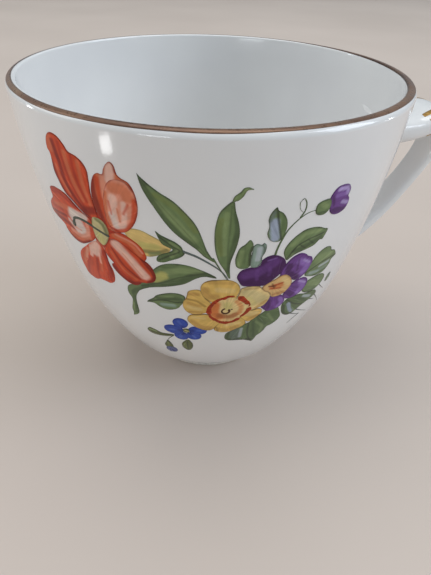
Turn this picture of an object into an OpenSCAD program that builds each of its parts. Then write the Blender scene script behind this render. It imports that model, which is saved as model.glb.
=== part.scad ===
// Porcelain teacup with a strap handle, a fired line round the lip and a painted flower spray.
// Millimetres, +Z up. Origin: cup axis at the standing plane. The handle points along +X and the
// painted front faces -Y.

/* [Cup] */
// rim diameter over the outer wall
rim_d = 82; // [78:1:86]
// wall thickness
wall_t = 2; // [1.8:0.1:2.4]
// height of the foot below the belly
foot_h = 2.9; // [2.5:0.1:4]
// outer radius of the foot ring
foot_r = 16.4; // [15.5:0.1:17.5]
// width of the foot ring
foot_w = 1.5; // [1.3:0.1:2]

/* [Lip] */
// rounding of the lip's outer edge
lip_out = 1.3; // [0.8:0.1:1.5]
// rounding of the lip's inner edge
lip_in = 0.4; // [0.3:0.1:0.6]
// thickness of the fired colour on the lip
band_t = 0.15; // [0.1:0.05:0.3]
// where the band starts on the outer rounding, in degrees from horizontal
band_out = 50; // [30:5:70]
// where the band ends on the inner rounding, in degrees from the outer horizontal
band_in = 130; // [100:5:160]

/* [Handle] */
// extra reach of the handle loop
handle_reach = 0; // [-2:0.5:4]
// width of the strap as a share of the drawn width
handle_w = 1; // [0.85:0.05:1.15]
// thickness of the strap as a share of the drawn thickness
handle_t = 1; // [0.9:0.05:1.2]
// thickness of the gold strokes
gold_t = 0.15; // [0.1:0.05:0.3]

/* [Painting] */
// thickness of the overglaze enamel
enamel_t = 0.25; // [0.2:0.05:0.4]
// turn of the painted front away from the handle, in degrees
front_turn = 105; // [95:1:115]

/* [Hidden] */
$fn = 96;
rim_r = rim_d / 2;
// leaning angles of the wall from vertical: rim, shoulder, haunch
lean = [4, 14, 33];
// radii of the three wall arcs, rim first
arc_r = [216, 84, 14];
// overlap of neighbouring arcs, in degrees
lap = 0.15;
arc_l = [for (i = [0:2]) arc_r[i] * ((i == 2 ? 90 : lean[i + 1]) - lean[i]) * PI / 180];
function dir(a) = [cos(a), -sin(a)];
// centres of the wall arcs, measured from the rim's height
c0 = [rim_r, 0] - arc_r[0] * dir(lean[0]);
c1 = c0 + (arc_r[0] - arc_r[1]) * dir(lean[1]);
c2 = c1 + (arc_r[1] - arc_r[2]) * dir(lean[2]);
cup_h = foot_h + arc_r[2] - c2[1];
arc_c = [for (c = [c0, c1, c2]) c + [0, cup_h]];
// centres of the lip's two roundings
lip_o = [rim_r - tan(lean[0]) * lip_out - lip_out, cup_h - lip_out];
lip_i = [rim_r - tan(lean[0]) * lip_in - wall_t + lip_in, cup_h - lip_in];

// ---- wall ------------------------------------------------------------------------------

// one arc of the wall as a slice of a disc, overlapping its neighbours by a hair
module arc_slice(i, grow, b) {
    far = 2 * arc_r[i];
    a = lean[i] - (i == 0 ? 0 : lap);
    intersection() {
        translate(arc_c[i]) circle(arc_r[i] + grow, $fn = i == 2 ? 120 : 720);
        polygon([arc_c[i], arc_c[i] + far * dir(a), arc_c[i] + far * dir(b)]);
        translate([0, -5]) square([rim_r + 5, cup_h + 4]);
    }
}

// everything inside the wall's outer face, grown outwards by grow and cut level at top
module cup_outline(grow = 0, top = cup_h) {
    intersection() {
        union() {
            arc_slice(0, grow, lean[1] + lap);
            arc_slice(1, grow, lean[2] + lap);
            arc_slice(2, grow, 90);
            polygon([[0, foot_h - grow], [arc_c[2][0], foot_h - grow], [arc_c[2][0], 30],
                     [arc_c[2][0] + 12, 40], [rim_r - 8, cup_h], [0, cup_h]]);
        }
        translate([0, -5]) square([rim_r + 5, top + 5]);
    }
}

// everything under the lip's rounded crest, cut back by t
module under_crest(t = 0) {
    translate([0, -5]) square([rim_r + 5, lip_o[1] + 5]);
    translate([0, -5]) square([lip_o[0], lip_i[1] + 5]);
    translate([lip_i[0], 0]) square([lip_o[0] - lip_i[0], cup_h - t]);
    intersection() {
        translate(lip_o) circle(lip_out - t);
        translate([lip_i[0], lip_o[1] - 1]) square(lip_out + 2);
    }
    translate(lip_i) circle(lip_in - t);
}

module band_area() {
    intersection() {
        difference() {
            under_crest();
            under_crest(band_t);
        }
        polygon([lip_o, lip_o + 5 * [cos(band_out), sin(band_out)], lip_o + [5, 9],
                 lip_i + [-5, 9], lip_i + 5 * [cos(band_in), sin(band_in)], lip_i]);
    }
}

module bowl() {
    color([0.93, 0.93, 0.92]) rotate_extrude() difference() {
        intersection() {
            difference() {
                cup_outline();
                cup_outline(-wall_t, cup_h + 5);
            }
            under_crest();
        }
        band_area();
    }
}

module rim_band() {
    color([0.42, 0.28, 0.19]) rotate_extrude() band_area();
}

edge_h = 0.9;
foot_in = foot_r - foot_w;

module foot_ring() {
    color([0.92, 0.92, 0.91]) rotate_extrude() difference() {
        polygon([[foot_in, edge_h], [foot_r, edge_h], [foot_r + 0.8, foot_h + 2],
                 [foot_in - 0.6, foot_h + 2]]);
        cup_outline();
    }
}

module unglazed_standing_edge() {
    b = 0.35;
    color([0.86, 0.84, 0.8]) rotate_extrude()
        polygon([[foot_in, edge_h], [foot_in, b], [foot_in + b, 0], [foot_r - b, 0],
                 [foot_r, b], [foot_r, edge_h]]);
}

// ---- handle ----------------------------------------------------------------------------

// stations along the strap: reach, height, width, thickness
strap = [[36.2, 58.2, 20.8, 8.4], [43.4, 58.5, 20.2, 6.8], [48, 58.9, 19.8, 6.2],
         [53, 59.7, 19, 5.8], [57.4, 59.4, 16.4, 5], [59.9, 56, 11.4, 4],
         [58.5, 51, 8.2, 3.5], [55.4, 45.2, 7.4, 3.3], [51.5, 39.5, 7.6, 3.3],
         [47, 34.2, 8.3, 3.4], [40.5, 29, 9.8, 4], [26.5, 19.6, 13.4, 5.4]];
steps = 6;
sides = 28;
last = len(strap) - 1;
function station(i) = i < 0 ? 2 * strap[0] - strap[1]
    : i > last ? 2 * strap[last] - strap[last - 1] : strap[i];
function curve(a, b, c, d, t) =
    (2 * b + (c - a) * t + (2 * a - 5 * b + 4 * c - d) * t * t
     + (3 * b - a - 3 * c + d) * t * t * t) / 2;
function along(k) = let (i = min(floor(k / steps), last - 1), t = k / steps - i)
    curve(station(i - 1), station(i), station(i + 1), station(i + 2), t);
function bulge(k) = handle_reach * sin(180 * k / (last * steps));
function spot(k) = let (p = along(k)) [p[0] + rim_r - 41 + bulge(k), p[1] + cup_h - 72];
function heading(k) = let (d = spot(k + 0.5) - spot(k - 0.5)) d / norm(d);
function soft(c) = sign(c) * pow(abs(c), 0.65);
function skin(k, j, grow = 0) =
    let (p = spot(k), s = along(k), d = heading(k), a = 360 * j / sides,
         w = soft(cos(a)) * (s[2] * handle_w / 2 + grow),
         t = soft(sin(a)) * (s[3] * handle_t / 2 + grow))
    [p[0] - d[1] * t, w, p[1] + d[0] * t];

// closed length of strap between two stations
module strap_part(k0, k1) {
    n = k1 - k0;
    pts = [for (k = [k0:k1]) for (j = [0:sides - 1]) skin(k, j)];
    walls = [for (k = [0:n - 1]) for (j = [0:sides - 1])
        let (a = k * sides + j, b = k * sides + (j + 1) % sides)
        each [[a, a + sides, b], [b, a + sides, b + sides]]];
    ends = [[for (j = [0:sides - 1]) j], [for (j = [sides - 1:-1:0]) n * sides + j]];
    polyhedron(pts, concat(walls, ends), convexity = 4);
}

module handle() {
    color([0.93, 0.93, 0.92]) strap_part(steps, (last - 1) * steps);
}

module joint(k0, k1) {
    color([0.92, 0.92, 0.91]) difference() {
        strap_part(k0, k1);
        rotate_extrude() cup_outline();
    }
}

module upper_handle_joint() joint(0, steps);
module lower_handle_joint() joint((last - 1) * steps, last * steps);

// raised stroke lying on the strap's own facets, tapered to both ends
module gold_stroke(k0, k1, j0, j1) {
    n = k1 - k0;
    m = j1 - j0;
    function lift(k, j) = gold_t * (0.3 + 0.7 * sin(180 * k / n) * sin(180 * j / m));
    low = [for (k = [0:n]) for (j = [0:m]) skin(k0 + k, j0 + j)];
    high = [for (k = [0:n]) for (j = [0:m]) skin(k0 + k, j0 + j, lift(k, j))];
    q = (n + 1) * (m + 1);
    function at(k, j) = k * (m + 1) + j;
    top = [for (k = [0:n - 1]) for (j = [0:m - 1]) each
        [[q + at(k, j), q + at(k + 1, j), q + at(k, j + 1)],
         [q + at(k, j + 1), q + at(k + 1, j), q + at(k + 1, j + 1)]]];
    base = [for (k = [0:n - 1]) for (j = [0:m - 1]) each
        [[at(k, j), at(k, j + 1), at(k + 1, j)], [at(k, j + 1), at(k + 1, j + 1), at(k + 1, j)]]];
    loop = concat([for (k = [0:n]) at(k, 0)], [for (j = [1:m]) at(n, j)],
                  [for (k = [n - 1:-1:0]) at(k, m)], [for (j = [m - 1:-1:1]) at(0, j)]);
    rim = [for (i = [0:len(loop) - 1]) let (a = loop[i], b = loop[(i + 1) % len(loop)])
        each [[a, b, q + a], [q + a, b, q + b]]];
    polyhedron(concat(low, high), concat(top, base, rim), convexity = 4);
}

module handle_gilding() {
    color([0.62, 0.46, 0.2]) {
        for (s = [[16, 21, 8], [18, 23, 11], [16, 21, 14]]) {
            gold_stroke(s[0], s[1], s[2], s[2] + 2);
            gold_stroke(s[0], s[1], 12 - s[2], 14 - s[2]);
        }
    }
}

// ---- painting --------------------------------------------------------------------------

paint_r = 36;
// station on the wall for a distance down the outer face from the rim
function arc_of(v) = v < arc_l[0] ? 0 : v < arc_l[0] + arc_l[1] ? 1 : 2;
function lean_at(v) = let (i = arc_of(v), s = i == 0 ? 0 : i == 1 ? arc_l[0] : arc_l[0] + arc_l[1])
    lean[i] + (v - s) / arc_r[i] * 180 / PI;
function wall_at(v) = arc_c[arc_of(v)] + arc_r[arc_of(v)] * dir(lean_at(v));

module enamel_skin() {
    rotate_extrude() intersection() {
        difference() {
            cup_outline(enamel_t);
            cup_outline();
        }
        translate([0, 8]) square([rim_r + 5, cup_h - 10]);
    }
}

// stands a flat drawing on the wall at distance u round the front and v down from the rim
module on_wall(u, v) {
    rotate([0, 0, u / paint_r * 180 / PI - front_turn]) translate([14, 0, wall_at(v)[1]])
        rotate([90, 0, 90]) linear_extrude(34) children();
}

// pointed leaf or petal from one end to the other
module blade(a, b, w) {
    m = (a + b) / 2;
    d = [(b[0] - a[0]) * wall_at(m[1])[0] / paint_r, (a[1] - b[1]) * cos(lean_at(m[1]))];
    l = norm(d);
    r = (l * l + w * w) / (4 * w);
    on_wall(m[0], m[1]) rotate(atan2(d[1], d[0])) intersection() {
        translate([0, r - w / 2]) circle(r);
        translate([0, w / 2 - r]) circle(r);
    }
}

module dot(c, r) on_wall(c[0], c[1]) circle(r);

// ring of round petals about one centre
module rosette(c, n, out, r, turn = 0) {
    on_wall(c[0], c[1]) {
        circle(out);
        for (i = [0:n - 1]) rotate(turn + i * 360 / n) translate([out, 0]) circle(r);
    }
}

module primrose_area() rosette([3.5, 37], 6, 4.5, 3.6, 30);

module lily_area() {
    blade([-18, 20.5], [-25, 4], 8.5);
    blade([-16.5, 20.5], [-13.5, 6], 8);
    blade([-17, 21], [-33, 20.5], 10);
    blade([-19, 21], [-26.5, 36], 9.5);
    blade([-18, 20], [-11, 32], 9.5);
}

module violet_area() {
    dot([10, 27.5], 4.4);
    dot([16.5, 27.8], 3.7);
    dot([18, 33.5], 3);
    dot([13.5, 37], 2.9);
    dot([13.8, 31.5], 3);
    dot([21.5, 12.5], 1.9);
    dot([21.8, 15], 1.8);
}

module forget_me_not_area() {
    rosette([-4.8, 45.2], 5, 2.6, 1.7, 20);
    dot([-10, 57], 1.5);
}

// paints the first child on the wall where no later child lies
module brush() {
    difference() {
        intersection() {
            enamel_skin();
            children(0);
        }
        children([1:$children - 1]);
    }
}

module leaf_enamel() {
    color([0.26, 0.4, 0.2]) {
        brush() {
            blade([-10.5, 6], [0.6, 24.5], 4.6);
            lily_area();
        }
        brush() {
            blade([3.8, 28], [3.4, 9], 4.2);
            primrose_area();
        }
        brush() {
            blade([1.5, 28], [-13.5, 32], 5);
            union() {
                lily_area();
                primrose_area();
            }
        }
        brush() {
            blade([-13.6, 34.2], [-17, 43.5], 2.2);
            blade([1.5, 28], [-13.5, 32], 5);
        }
        brush() {
            blade([-12.2, 37], [-3, 34.5], 5);
            primrose_area();
        }
        brush() {
            union() {
                blade([12.5, 24.6], [21, 20], 5);
                dot([23, 28.5], 3.6);
                blade([16, 40.5], [28, 35.5], 6);
            }
            violet_area();
        }
        brush() {
            blade([4.5, 49.5], [17, 42.5], 8);
            primrose_area();
        }
        intersection() {
            enamel_skin();
            union() {
                blade([9.5, 20.3], [10.5, 12], 3.4);
                blade([-5, 50], [-5, 55.5], 2.8);
                blade([-15, 48.4], [-9, 48.8], 2.4);
                dot([17.9, 14], 1.5);
            }
        }
        brush() {
            blade([-3.5, 21], [-12, 18.5], 4.2);
            union() {
                lily_area();
                blade([-10.5, 6], [0.6, 24.5], 4.6);
            }
        }
    }
}

module lily_enamel() {
    color([0.76, 0.26, 0.13]) intersection() {
        enamel_skin();
        lily_area();
    }
}

module primrose_enamel() {
    color([0.85, 0.65, 0.27]) intersection() {
        enamel_skin();
        primrose_area();
    }
}

module violet_enamel() {
    color([0.38, 0.22, 0.47]) difference() {
        intersection() {
            enamel_skin();
            violet_area();
        }
        primrose_area();
    }
}

module forget_me_not_enamel() {
    color([0.2, 0.28, 0.62]) difference() {
        intersection() {
            enamel_skin();
            forget_me_not_area();
        }
        primrose_area();
    }
}

bowl();
foot_ring();
unglazed_standing_edge();
rim_band();
handle();
upper_handle_joint();
lower_handle_joint();
handle_gilding();
leaf_enamel();
lily_enamel();
primrose_enamel();
violet_enamel();
forget_me_not_enamel();
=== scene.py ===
"""Porcelain teacup: glazed body, strap handle, brown lip line and a painted flower spray.

Lengths in the tables below are millimetres. The painting is laid out in wall coordinates:
u runs round the front of the cup to the right, measured on a radius of PAINT_R, and v runs down
the outer wall from the rim.
"""

import math

import bpy
import numpy as np
from mathutils import Matrix, Vector
from mathutils.geometry import delaunay_2d_cdt


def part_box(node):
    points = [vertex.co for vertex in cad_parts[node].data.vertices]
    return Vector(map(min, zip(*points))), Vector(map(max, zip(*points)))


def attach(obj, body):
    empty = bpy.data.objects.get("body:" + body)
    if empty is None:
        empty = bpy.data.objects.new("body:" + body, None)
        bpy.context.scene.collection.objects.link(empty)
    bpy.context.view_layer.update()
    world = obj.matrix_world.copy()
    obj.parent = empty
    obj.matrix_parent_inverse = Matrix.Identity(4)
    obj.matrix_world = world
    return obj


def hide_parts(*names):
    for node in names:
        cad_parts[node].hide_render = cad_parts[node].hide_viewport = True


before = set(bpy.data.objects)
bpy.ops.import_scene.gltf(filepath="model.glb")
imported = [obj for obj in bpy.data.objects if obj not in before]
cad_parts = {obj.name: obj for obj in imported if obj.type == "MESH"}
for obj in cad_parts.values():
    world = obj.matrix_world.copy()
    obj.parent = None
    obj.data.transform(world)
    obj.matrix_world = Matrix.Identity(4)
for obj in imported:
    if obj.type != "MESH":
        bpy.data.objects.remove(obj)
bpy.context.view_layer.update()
MM = 0.001

# ---- cup design, as in the CAD part ------------------------------------------------------

RIM_R = 41.0
WALL_T = 2.0
LEAN = [math.radians(a) for a in (4, 14, 33, 90)]
ARC_R = [216.0, 84.0, 14.0]
BOWL_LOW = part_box("bowl")[0].z / MM
FOOT_LOW, FOOT_TOP = [c.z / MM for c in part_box("foot_ring")]
EDGE_R, EDGE_TOP = [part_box("unglazed_standing_edge")[1][i] / MM for i in (0, 2)]
FOOT_W = 1.5
PAINT_R = 36.0
# The handle lies along +X. The painting's middle line is FRONT_TURN clockwise from it, and the
# camera stands over that line, so it sees the handle HANDLE_BACK behind the cup's right side.
FRONT_TURN = math.radians(105)
HANDLE_BACK = math.radians(15)
CAMERA_TURN = Matrix.Rotation(-HANDLE_BACK, 3, "Z")


def heading(a):
    return np.array([math.cos(a), -math.sin(a)])


def arc_centres():
    """Centres of the three wall arcs as (radius, height), set down on the CAD bowl's floor."""
    c = [np.array([RIM_R, 0.0]) - ARC_R[0] * heading(LEAN[0])]
    for i in (1, 2):
        c.append(c[-1] + (ARC_R[i - 1] - ARC_R[i]) * heading(LEAN[i]))
    lift = BOWL_LOW + ARC_R[2] - c[2][1]
    return [p + [0, lift] for p in c], lift


ARC_C, CUP_H = arc_centres()
ARC_L = [ARC_R[i] * (LEAN[i + 1] - LEAN[i]) for i in range(3)]
# The lip is a flat crest between an outer and an inner roll, each turned through LIP_TURN.
LIP_OUT = 1.3
LIP_IN = 0.4
LIP_TURN = 1.53
LIP_FLAT = WALL_T - (LIP_OUT + LIP_IN) - (LIP_OUT - LIP_IN) * math.tan(LEAN[0])
LIP_C = np.array([RIM_R - math.tan(LEAN[0]) * LIP_OUT - LIP_OUT, CUP_H - LIP_OUT])


def wall(v):
    """Radius, height and outward normal of the outer wall at distances v below the rim."""
    v = np.asarray(v, float)
    ang = np.zeros_like(v)
    arc = np.zeros(v.shape, int)
    start = 0.0
    for i in range(3):
        here = v >= start if i else np.ones(v.shape, bool)
        ang = np.where(here, LEAN[i] + (v - start) / ARC_R[i], ang)
        arc = np.where(here, i, arc)
        start += ARC_L[i]
    c = np.array(ARC_C)[arc]
    rad = np.array(ARC_R)[arc]
    n = np.stack([np.cos(ang), -np.sin(ang)], -1)
    p = c + rad[..., None] * n
    return p[..., 0], p[..., 1], n


def on_wall(uv, h):
    """Points in metres for wall coordinates, lifted h off the glaze."""
    uv = np.asarray(uv, float)
    r, z, n = wall(uv[:, 1])
    a = uv[:, 0] / PAINT_R - FRONT_TURN
    r = r + n[:, 0] * h
    return np.stack([r * np.cos(a), r * np.sin(a), z + n[:, 1] * h], -1) * MM


# ---- mesh helpers ------------------------------------------------------------------------


def curve_point(a, b, c, d, f):
    """Value at fraction f of the way from b to c on a smooth curve through a, b, c and d."""
    return (2 * b + (c - a) * f + (2 * a - 5 * b + 4 * c - d) * f ** 2
            + (3 * b - a - 3 * c + d) * f ** 3) / 2


def new_mesh(name, verts, faces):
    me = bpy.data.meshes.new(name)
    me.from_pydata([tuple(v) for v in verts], [], faces)
    me.validate()
    me.polygons.foreach_set("use_smooth", [True] * len(me.polygons))
    ob = bpy.data.objects.new(name, me)
    bpy.context.collection.objects.link(ob)
    return ob


def lathe(name, profile, turns=240):
    """Closed body of revolution. The profile may touch the axis at its ends or form a loop."""
    prof = np.asarray(profile, float)
    loop = bool(np.allclose(prof[0], prof[-1]))
    if loop:
        prof = prof[:-1]
    verts, rings = [], []
    for r, z in prof:
        if r < 1e-6:
            rings.append([len(verts)] * turns)
            verts.append((0, 0, z * MM))
        else:
            rings.append(list(range(len(verts), len(verts) + turns)))
            for k in range(turns):
                a = 2 * math.pi * k / turns
                verts.append((r * MM * math.cos(a), r * MM * math.sin(a), z * MM))
    faces = []
    pairs = list(zip(rings, rings[1:])) + ([(rings[-1], rings[0])] if loop else [])
    for lo, hi in pairs:
        for k in range(turns):
            j = (k + 1) % turns
            f = [lo[k], lo[j], hi[j], hi[k]]
            f = [x for i, x in enumerate(f) if x not in f[:i]]
            if len(f) > 2:
                faces.append(f)
    return new_mesh(name, verts, faces)


def arc_points(c, r, a0, a1, n):
    return [(c[0] + r * math.cos(a), c[1] + r * math.sin(a)) for a in np.linspace(a0, a1, n)]


def linear(rgb):
    c = np.asarray(rgb, float) / 255
    return np.where(c <= 0.04045, c / 12.92, ((c + 0.055) / 1.055) ** 2.4)


def shade(*rgb):
    return tuple(linear(rgb))


# ---- materials ---------------------------------------------------------------------------


class Nodes:
    """Short hand for building a node material."""

    def __init__(self, name):
        self.mat = bpy.data.materials.new(name)
        self.mat.use_nodes = True
        self.tree = self.mat.node_tree
        self.bsdf = self.tree.nodes["Principled BSDF"]

    def add(self, kind, **values):
        node = self.tree.nodes.new("ShaderNode" + kind)
        for key, value in values.items():
            if key in node.inputs:
                node.inputs[key].default_value = value
            else:
                setattr(node, key, value)
        return node

    def link(self, a, b):
        self.tree.links.new(a, b)

    def ramp(self, source, *stops):
        node = self.add("ValToRGB")
        ramp = node.color_ramp
        while len(ramp.elements) < len(stops):
            ramp.elements.new(0.5)
        for e, (at, rgb) in zip(ramp.elements, stops):
            e.position = at
            e.color = (*rgb, 1)
        self.link(source, node.inputs["Fac"])
        return node.outputs["Color"]

    def noise(self, vector, scale, detail=3.0, rough=0.5):
        node = self.add("TexNoise", Scale=scale, Detail=detail, Roughness=rough)
        self.link(vector, node.inputs["Vector"])
        return node.outputs["Fac"]

    def bump(self, height, strength, distance, below=None):
        node = self.add("Bump", Strength=strength, Distance=distance)
        self.link(height, node.inputs["Height"])
        if below is not None:
            self.link(below, node.inputs["Normal"])
        return node.outputs["Normal"]

    def spread(self, source, low, high):
        node = self.add("MapRange")
        node.inputs["From Min"].default_value = 0.3
        node.inputs["From Max"].default_value = 0.7
        node.inputs["To Min"].default_value = low
        node.inputs["To Max"].default_value = high
        self.link(source, node.inputs["Value"])
        return node.outputs["Result"]


def glaze_material(name, body, pool, gloss=0.1):
    """Clear glaze over white porcelain: faint pooling of tone, slow waviness, fine pits."""
    m = Nodes(name)
    place = m.add("TexCoord").outputs["Object"]
    tone = m.noise(place, 38, 2)
    m.link(m.ramp(tone, (0.35, shade(*pool)), (0.65, shade(*body))),
           m.bsdf.inputs["Base Color"])
    m.link(m.spread(m.noise(place, 420, 2), gloss * 0.7, gloss * 1.4), m.bsdf.inputs["Roughness"])
    wave = m.bump(m.noise(place, 70, 1), 0.35, 0.0004)
    m.link(m.bump(m.noise(place, 2600, 2), 0.05, 0.0001, wave), m.bsdf.inputs["Normal"])
    m.bsdf.inputs["IOR"].default_value = 1.52
    m.bsdf.inputs["Coat Weight"].default_value = 0.35
    m.bsdf.inputs["Coat Roughness"].default_value = 0.03
    return m.mat


def biscuit_material():
    m = Nodes("bare_biscuit")
    place = m.add("TexCoord").outputs["Object"]
    grain = m.noise(place, 1800, 5, 0.6)
    m.link(m.ramp(grain, (0.3, shade(196, 188, 176)), (0.7, shade(228, 222, 212))),
           m.bsdf.inputs["Base Color"])
    m.link(m.bump(grain, 0.4, 0.0002), m.bsdf.inputs["Normal"])
    m.bsdf.inputs["Roughness"].default_value = 0.8
    return m.mat


def lip_material():
    """Brown fired line with a worn gilt sheen, laid on with a loaded brush on a wheel."""
    m = Nodes("lip_line")
    place = m.add("TexCoord").outputs["Object"]
    patch = m.noise(place, 45, 4, 0.6)
    fine = m.noise(place, 900, 3)
    tone = m.ramp(patch, (0.3, shade(96, 66, 50)), (0.55, shade(134, 100, 76)),
                  (0.8, shade(168, 136, 104)))
    mix = m.add("Mix", data_type="RGBA", blend_type="MULTIPLY")
    mix.inputs["Factor"].default_value = 0.5
    m.link(tone, mix.inputs["A"])
    m.link(m.ramp(fine, (0.3, (0.7, 0.7, 0.7)), (0.7, (1, 1, 1))), mix.inputs["B"])
    across = m.add("Attribute", attribute_name="across").outputs["Fac"]
    rim = m.add("Mix", data_type="RGBA", blend_type="MULTIPLY")
    rim.inputs["Factor"].default_value = 1
    m.link(mix.outputs["Result"], rim.inputs["A"])
    m.link(m.ramp(across, (0, (0.7,) * 3), (0.15, (1,) * 3), (0.7, (1,) * 3), (0.92, (0.5,) * 3)),
           rim.inputs["B"])
    m.link(rim.outputs["Result"], m.bsdf.inputs["Base Color"])
    m.bsdf.inputs["Metallic"].default_value = 0.35
    m.link(m.spread(fine, 0.22, 0.42), m.bsdf.inputs["Roughness"])
    m.link(m.bump(fine, 0.15, 0.0001), m.bsdf.inputs["Normal"])
    return m.mat


def gold_material():
    m = Nodes("brushed_gold")
    place = m.add("TexCoord").outputs["Object"]
    worn = m.noise(place, 500, 4, 0.6)
    m.link(m.ramp(worn, (0.3, shade(122, 84, 34)), (0.7, shade(190, 150, 78))),
           m.bsdf.inputs["Base Color"])
    m.bsdf.inputs["Metallic"].default_value = 0.7
    m.link(m.spread(worn, 0.25, 0.5), m.bsdf.inputs["Roughness"])
    m.link(m.bump(worn, 0.2, 0.0001), m.bsdf.inputs["Normal"])
    return m.mat


def enamel_material(name, streak, contrast):
    """Overglaze paint: the laid-in colour broken by brush hairs that run out from each root."""
    m = Nodes(name)
    colour = m.add("Attribute", attribute_name="paint").outputs["Color"]
    hairs = m.add("Attribute", attribute_name="hairs").outputs["Vector"]
    place = m.add("TexCoord").outputs["Object"]
    line = m.noise(hairs, streak, 3, 0.55)
    pool = m.noise(place, 700, 2)
    for fac, low, high in ((line, 1 - contrast, 1 + contrast * 0.7), (pool, 0.93, 1.06)):
        mix = m.add("Mix", data_type="RGBA", blend_type="MULTIPLY")
        mix.inputs["Factor"].default_value = 1
        m.link(colour, mix.inputs["A"])
        m.link(m.ramp(fac, (0.32, (low,) * 3), (0.68, (high,) * 3)), mix.inputs["B"])
        colour = mix.outputs["Result"]
    m.link(colour, m.bsdf.inputs["Base Color"])
    m.link(m.spread(line, 0.14, 0.3), m.bsdf.inputs["Roughness"])
    m.link(m.bump(line, 0.12, 0.0001), m.bsdf.inputs["Normal"])
    m.bsdf.inputs["Specular IOR Level"].default_value = 0.16
    m.bsdf.inputs["Coat Weight"].default_value = 0.06
    m.bsdf.inputs["Coat Roughness"].default_value = 0.05
    return m.mat


# ---- cup body ----------------------------------------------------------------------------


def dress(piece, material, slot, *nodes):
    piece.data.materials.append(material)
    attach(piece, "root")
    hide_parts(*nodes)
    return piece


def wall_profile(grow, vs):
    r, z, n = wall(vs)
    return [(a + b * grow, c + d * grow) for a, c, (b, d) in zip(r, z, n)]


def lip_skin(s, h=0.0):
    """Point on the lip at distance s in from the outer end of its flat crest, lifted by h."""
    if s <= 0:
        b = -s / LIP_OUT
        return LIP_C + (LIP_OUT + h) * np.array([math.sin(b), math.cos(b)])
    if s <= LIP_FLAT:
        return np.array([LIP_C[0] - s, CUP_H + h])
    b = (s - LIP_FLAT) / LIP_IN
    centre = np.array([LIP_C[0] - LIP_FLAT, CUP_H - LIP_IN])
    return centre + (LIP_IN + h) * np.array([-math.sin(b), math.cos(b)])


def make_bowl():
    down = np.concatenate([np.linspace(1.4, ARC_L[0] + ARC_L[1], 46),
                           np.linspace(ARC_L[0] + ARC_L[1], sum(ARC_L), 16)[1:]])
    floor_in = BOWL_LOW + WALL_T
    outside = [(0, BOWL_LOW), (6, BOWL_LOW)] + wall_profile(0, down[::-1])
    ends = -LIP_TURN * LIP_OUT, LIP_FLAT + LIP_TURN * LIP_IN
    lip = [tuple(lip_skin(s)) for s in np.linspace(*ends, 24)]
    inside = wall_profile(-WALL_T, np.append(0.75, down)) + [(6, floor_in), (0, floor_in)]
    return lathe("cup_bowl", outside + lip + inside)


def make_foot():
    r0, r1 = EDGE_R - FOOT_W, EDGE_R
    top, low = FOOT_TOP, FOOT_LOW
    ring = [(r0, low), (r1, low), (r1 + 0.1, low + 0.5), (r1 + 0.55, top - 0.15),
            (r1 + 0.75, top + 0.55), (r0 - 0.8, top + 0.3), (r0 - 0.5, top - 0.5),
            (r0 - 0.1, low + 0.6), (r0, low)]
    return lathe("cup_foot_ring", ring)


def make_standing_edge():
    r0, r1, b, top = EDGE_R - FOOT_W, EDGE_R, 0.35, EDGE_TOP
    loop = [(r0, top)] + arc_points((r0 + b, b), b, math.pi, 1.5 * math.pi, 5)
    loop += arc_points((r1 - b, b), b, -math.pi / 2, 0, 5) + [(r1, top), (r0, top)]
    return lathe("cup_standing_edge", loop)


def make_lip_line():
    """The line sits on the lip; its two edges wander a little, as a hand-held brush leaves them."""
    turns, across = 480, 15
    verts, place = [], []
    for k in range(turns):
        a = 2 * math.pi * k / turns
        side = a + HANDLE_BACK
        wander = sum(w * math.sin(f * a + p) for f, w, p in
                     ((4, 0.05, 0.4), (9, 0.03, 1.9), (17, 0.015, 4.0)))
        wander -= 0.35 * max(0.0, math.cos(side + 2.36)) ** 2
        outer = (-0.86 - 0.05 * math.cos(side) - 0.03 * math.sin(side)
                 - 0.09 * math.cos(2 * side) + wander)
        inner = (0.33 + 0.35 * math.cos(side) - 0.2 * math.sin(side)
                 + 0.12 * math.cos(2 * side) + 0.6 * wander)
        for lift, row in ((0.05, np.linspace(0, 1, across)), (-0.12, np.linspace(1, 0, across))):
            for t in row:
                h = lift * min(1, 0.4 + 4 * min(t, 1 - t)) if lift > 0 else lift
                x, z = lip_skin(outer + (inner - outer) * t, h)
                verts.append((x * math.cos(a) * MM, x * math.sin(a) * MM, z * MM))
                place.append(t)
    n = 2 * across
    faces = [(k * n + j, (k + 1) % turns * n + j, (k + 1) % turns * n + (j + 1) % n,
              k * n + (j + 1) % n) for k in range(turns) for j in range(n)]
    ob = new_mesh("cup_lip_line", verts, faces)
    ob.data.attributes.new("across", "FLOAT", "POINT").data.foreach_set("value", place)
    return ob


# ---- handle ------------------------------------------------------------------------------

# Stations along the strap: reach, height, width, thickness, with the rim at STRAP_RIM. The roots
# run from ROOT_FROM and ROOT_TO until they are ROOT_DEEP in the wall. Within FILLET of the wall
# the strap swells by up to FILLET_W. SECTION_ROUND below 1 squares the section's corners.
STRAP = np.array([
    (36.2, 58.2, 20.8, 8.4), (43.4, 58.5, 20.2, 6.8), (48, 58.9, 19.8, 6.2),
    (53, 59.7, 19, 5.8), (57.4, 59.4, 16.4, 5), (59.9, 56, 11.4, 4),
    (58.5, 51, 8.2, 3.5), (55.4, 45.2, 7.4, 3.3), (51.5, 39.5, 7.6, 3.3),
    (47, 34.2, 8.3, 3.4), (40.5, 29, 9.8, 4), (26.5, 19.6, 13.4, 5.4)])
STRAP_RIM = 72
STRAP[:, 1] += CUP_H - STRAP_RIM
FILLET = 2.6
FILLET_W = 1.6
ROOT_DEEP = 0.8
SECTION_ROUND = 0.68
ROOT_FROM, ROOT_TO = 1.2, 9.5


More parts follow.
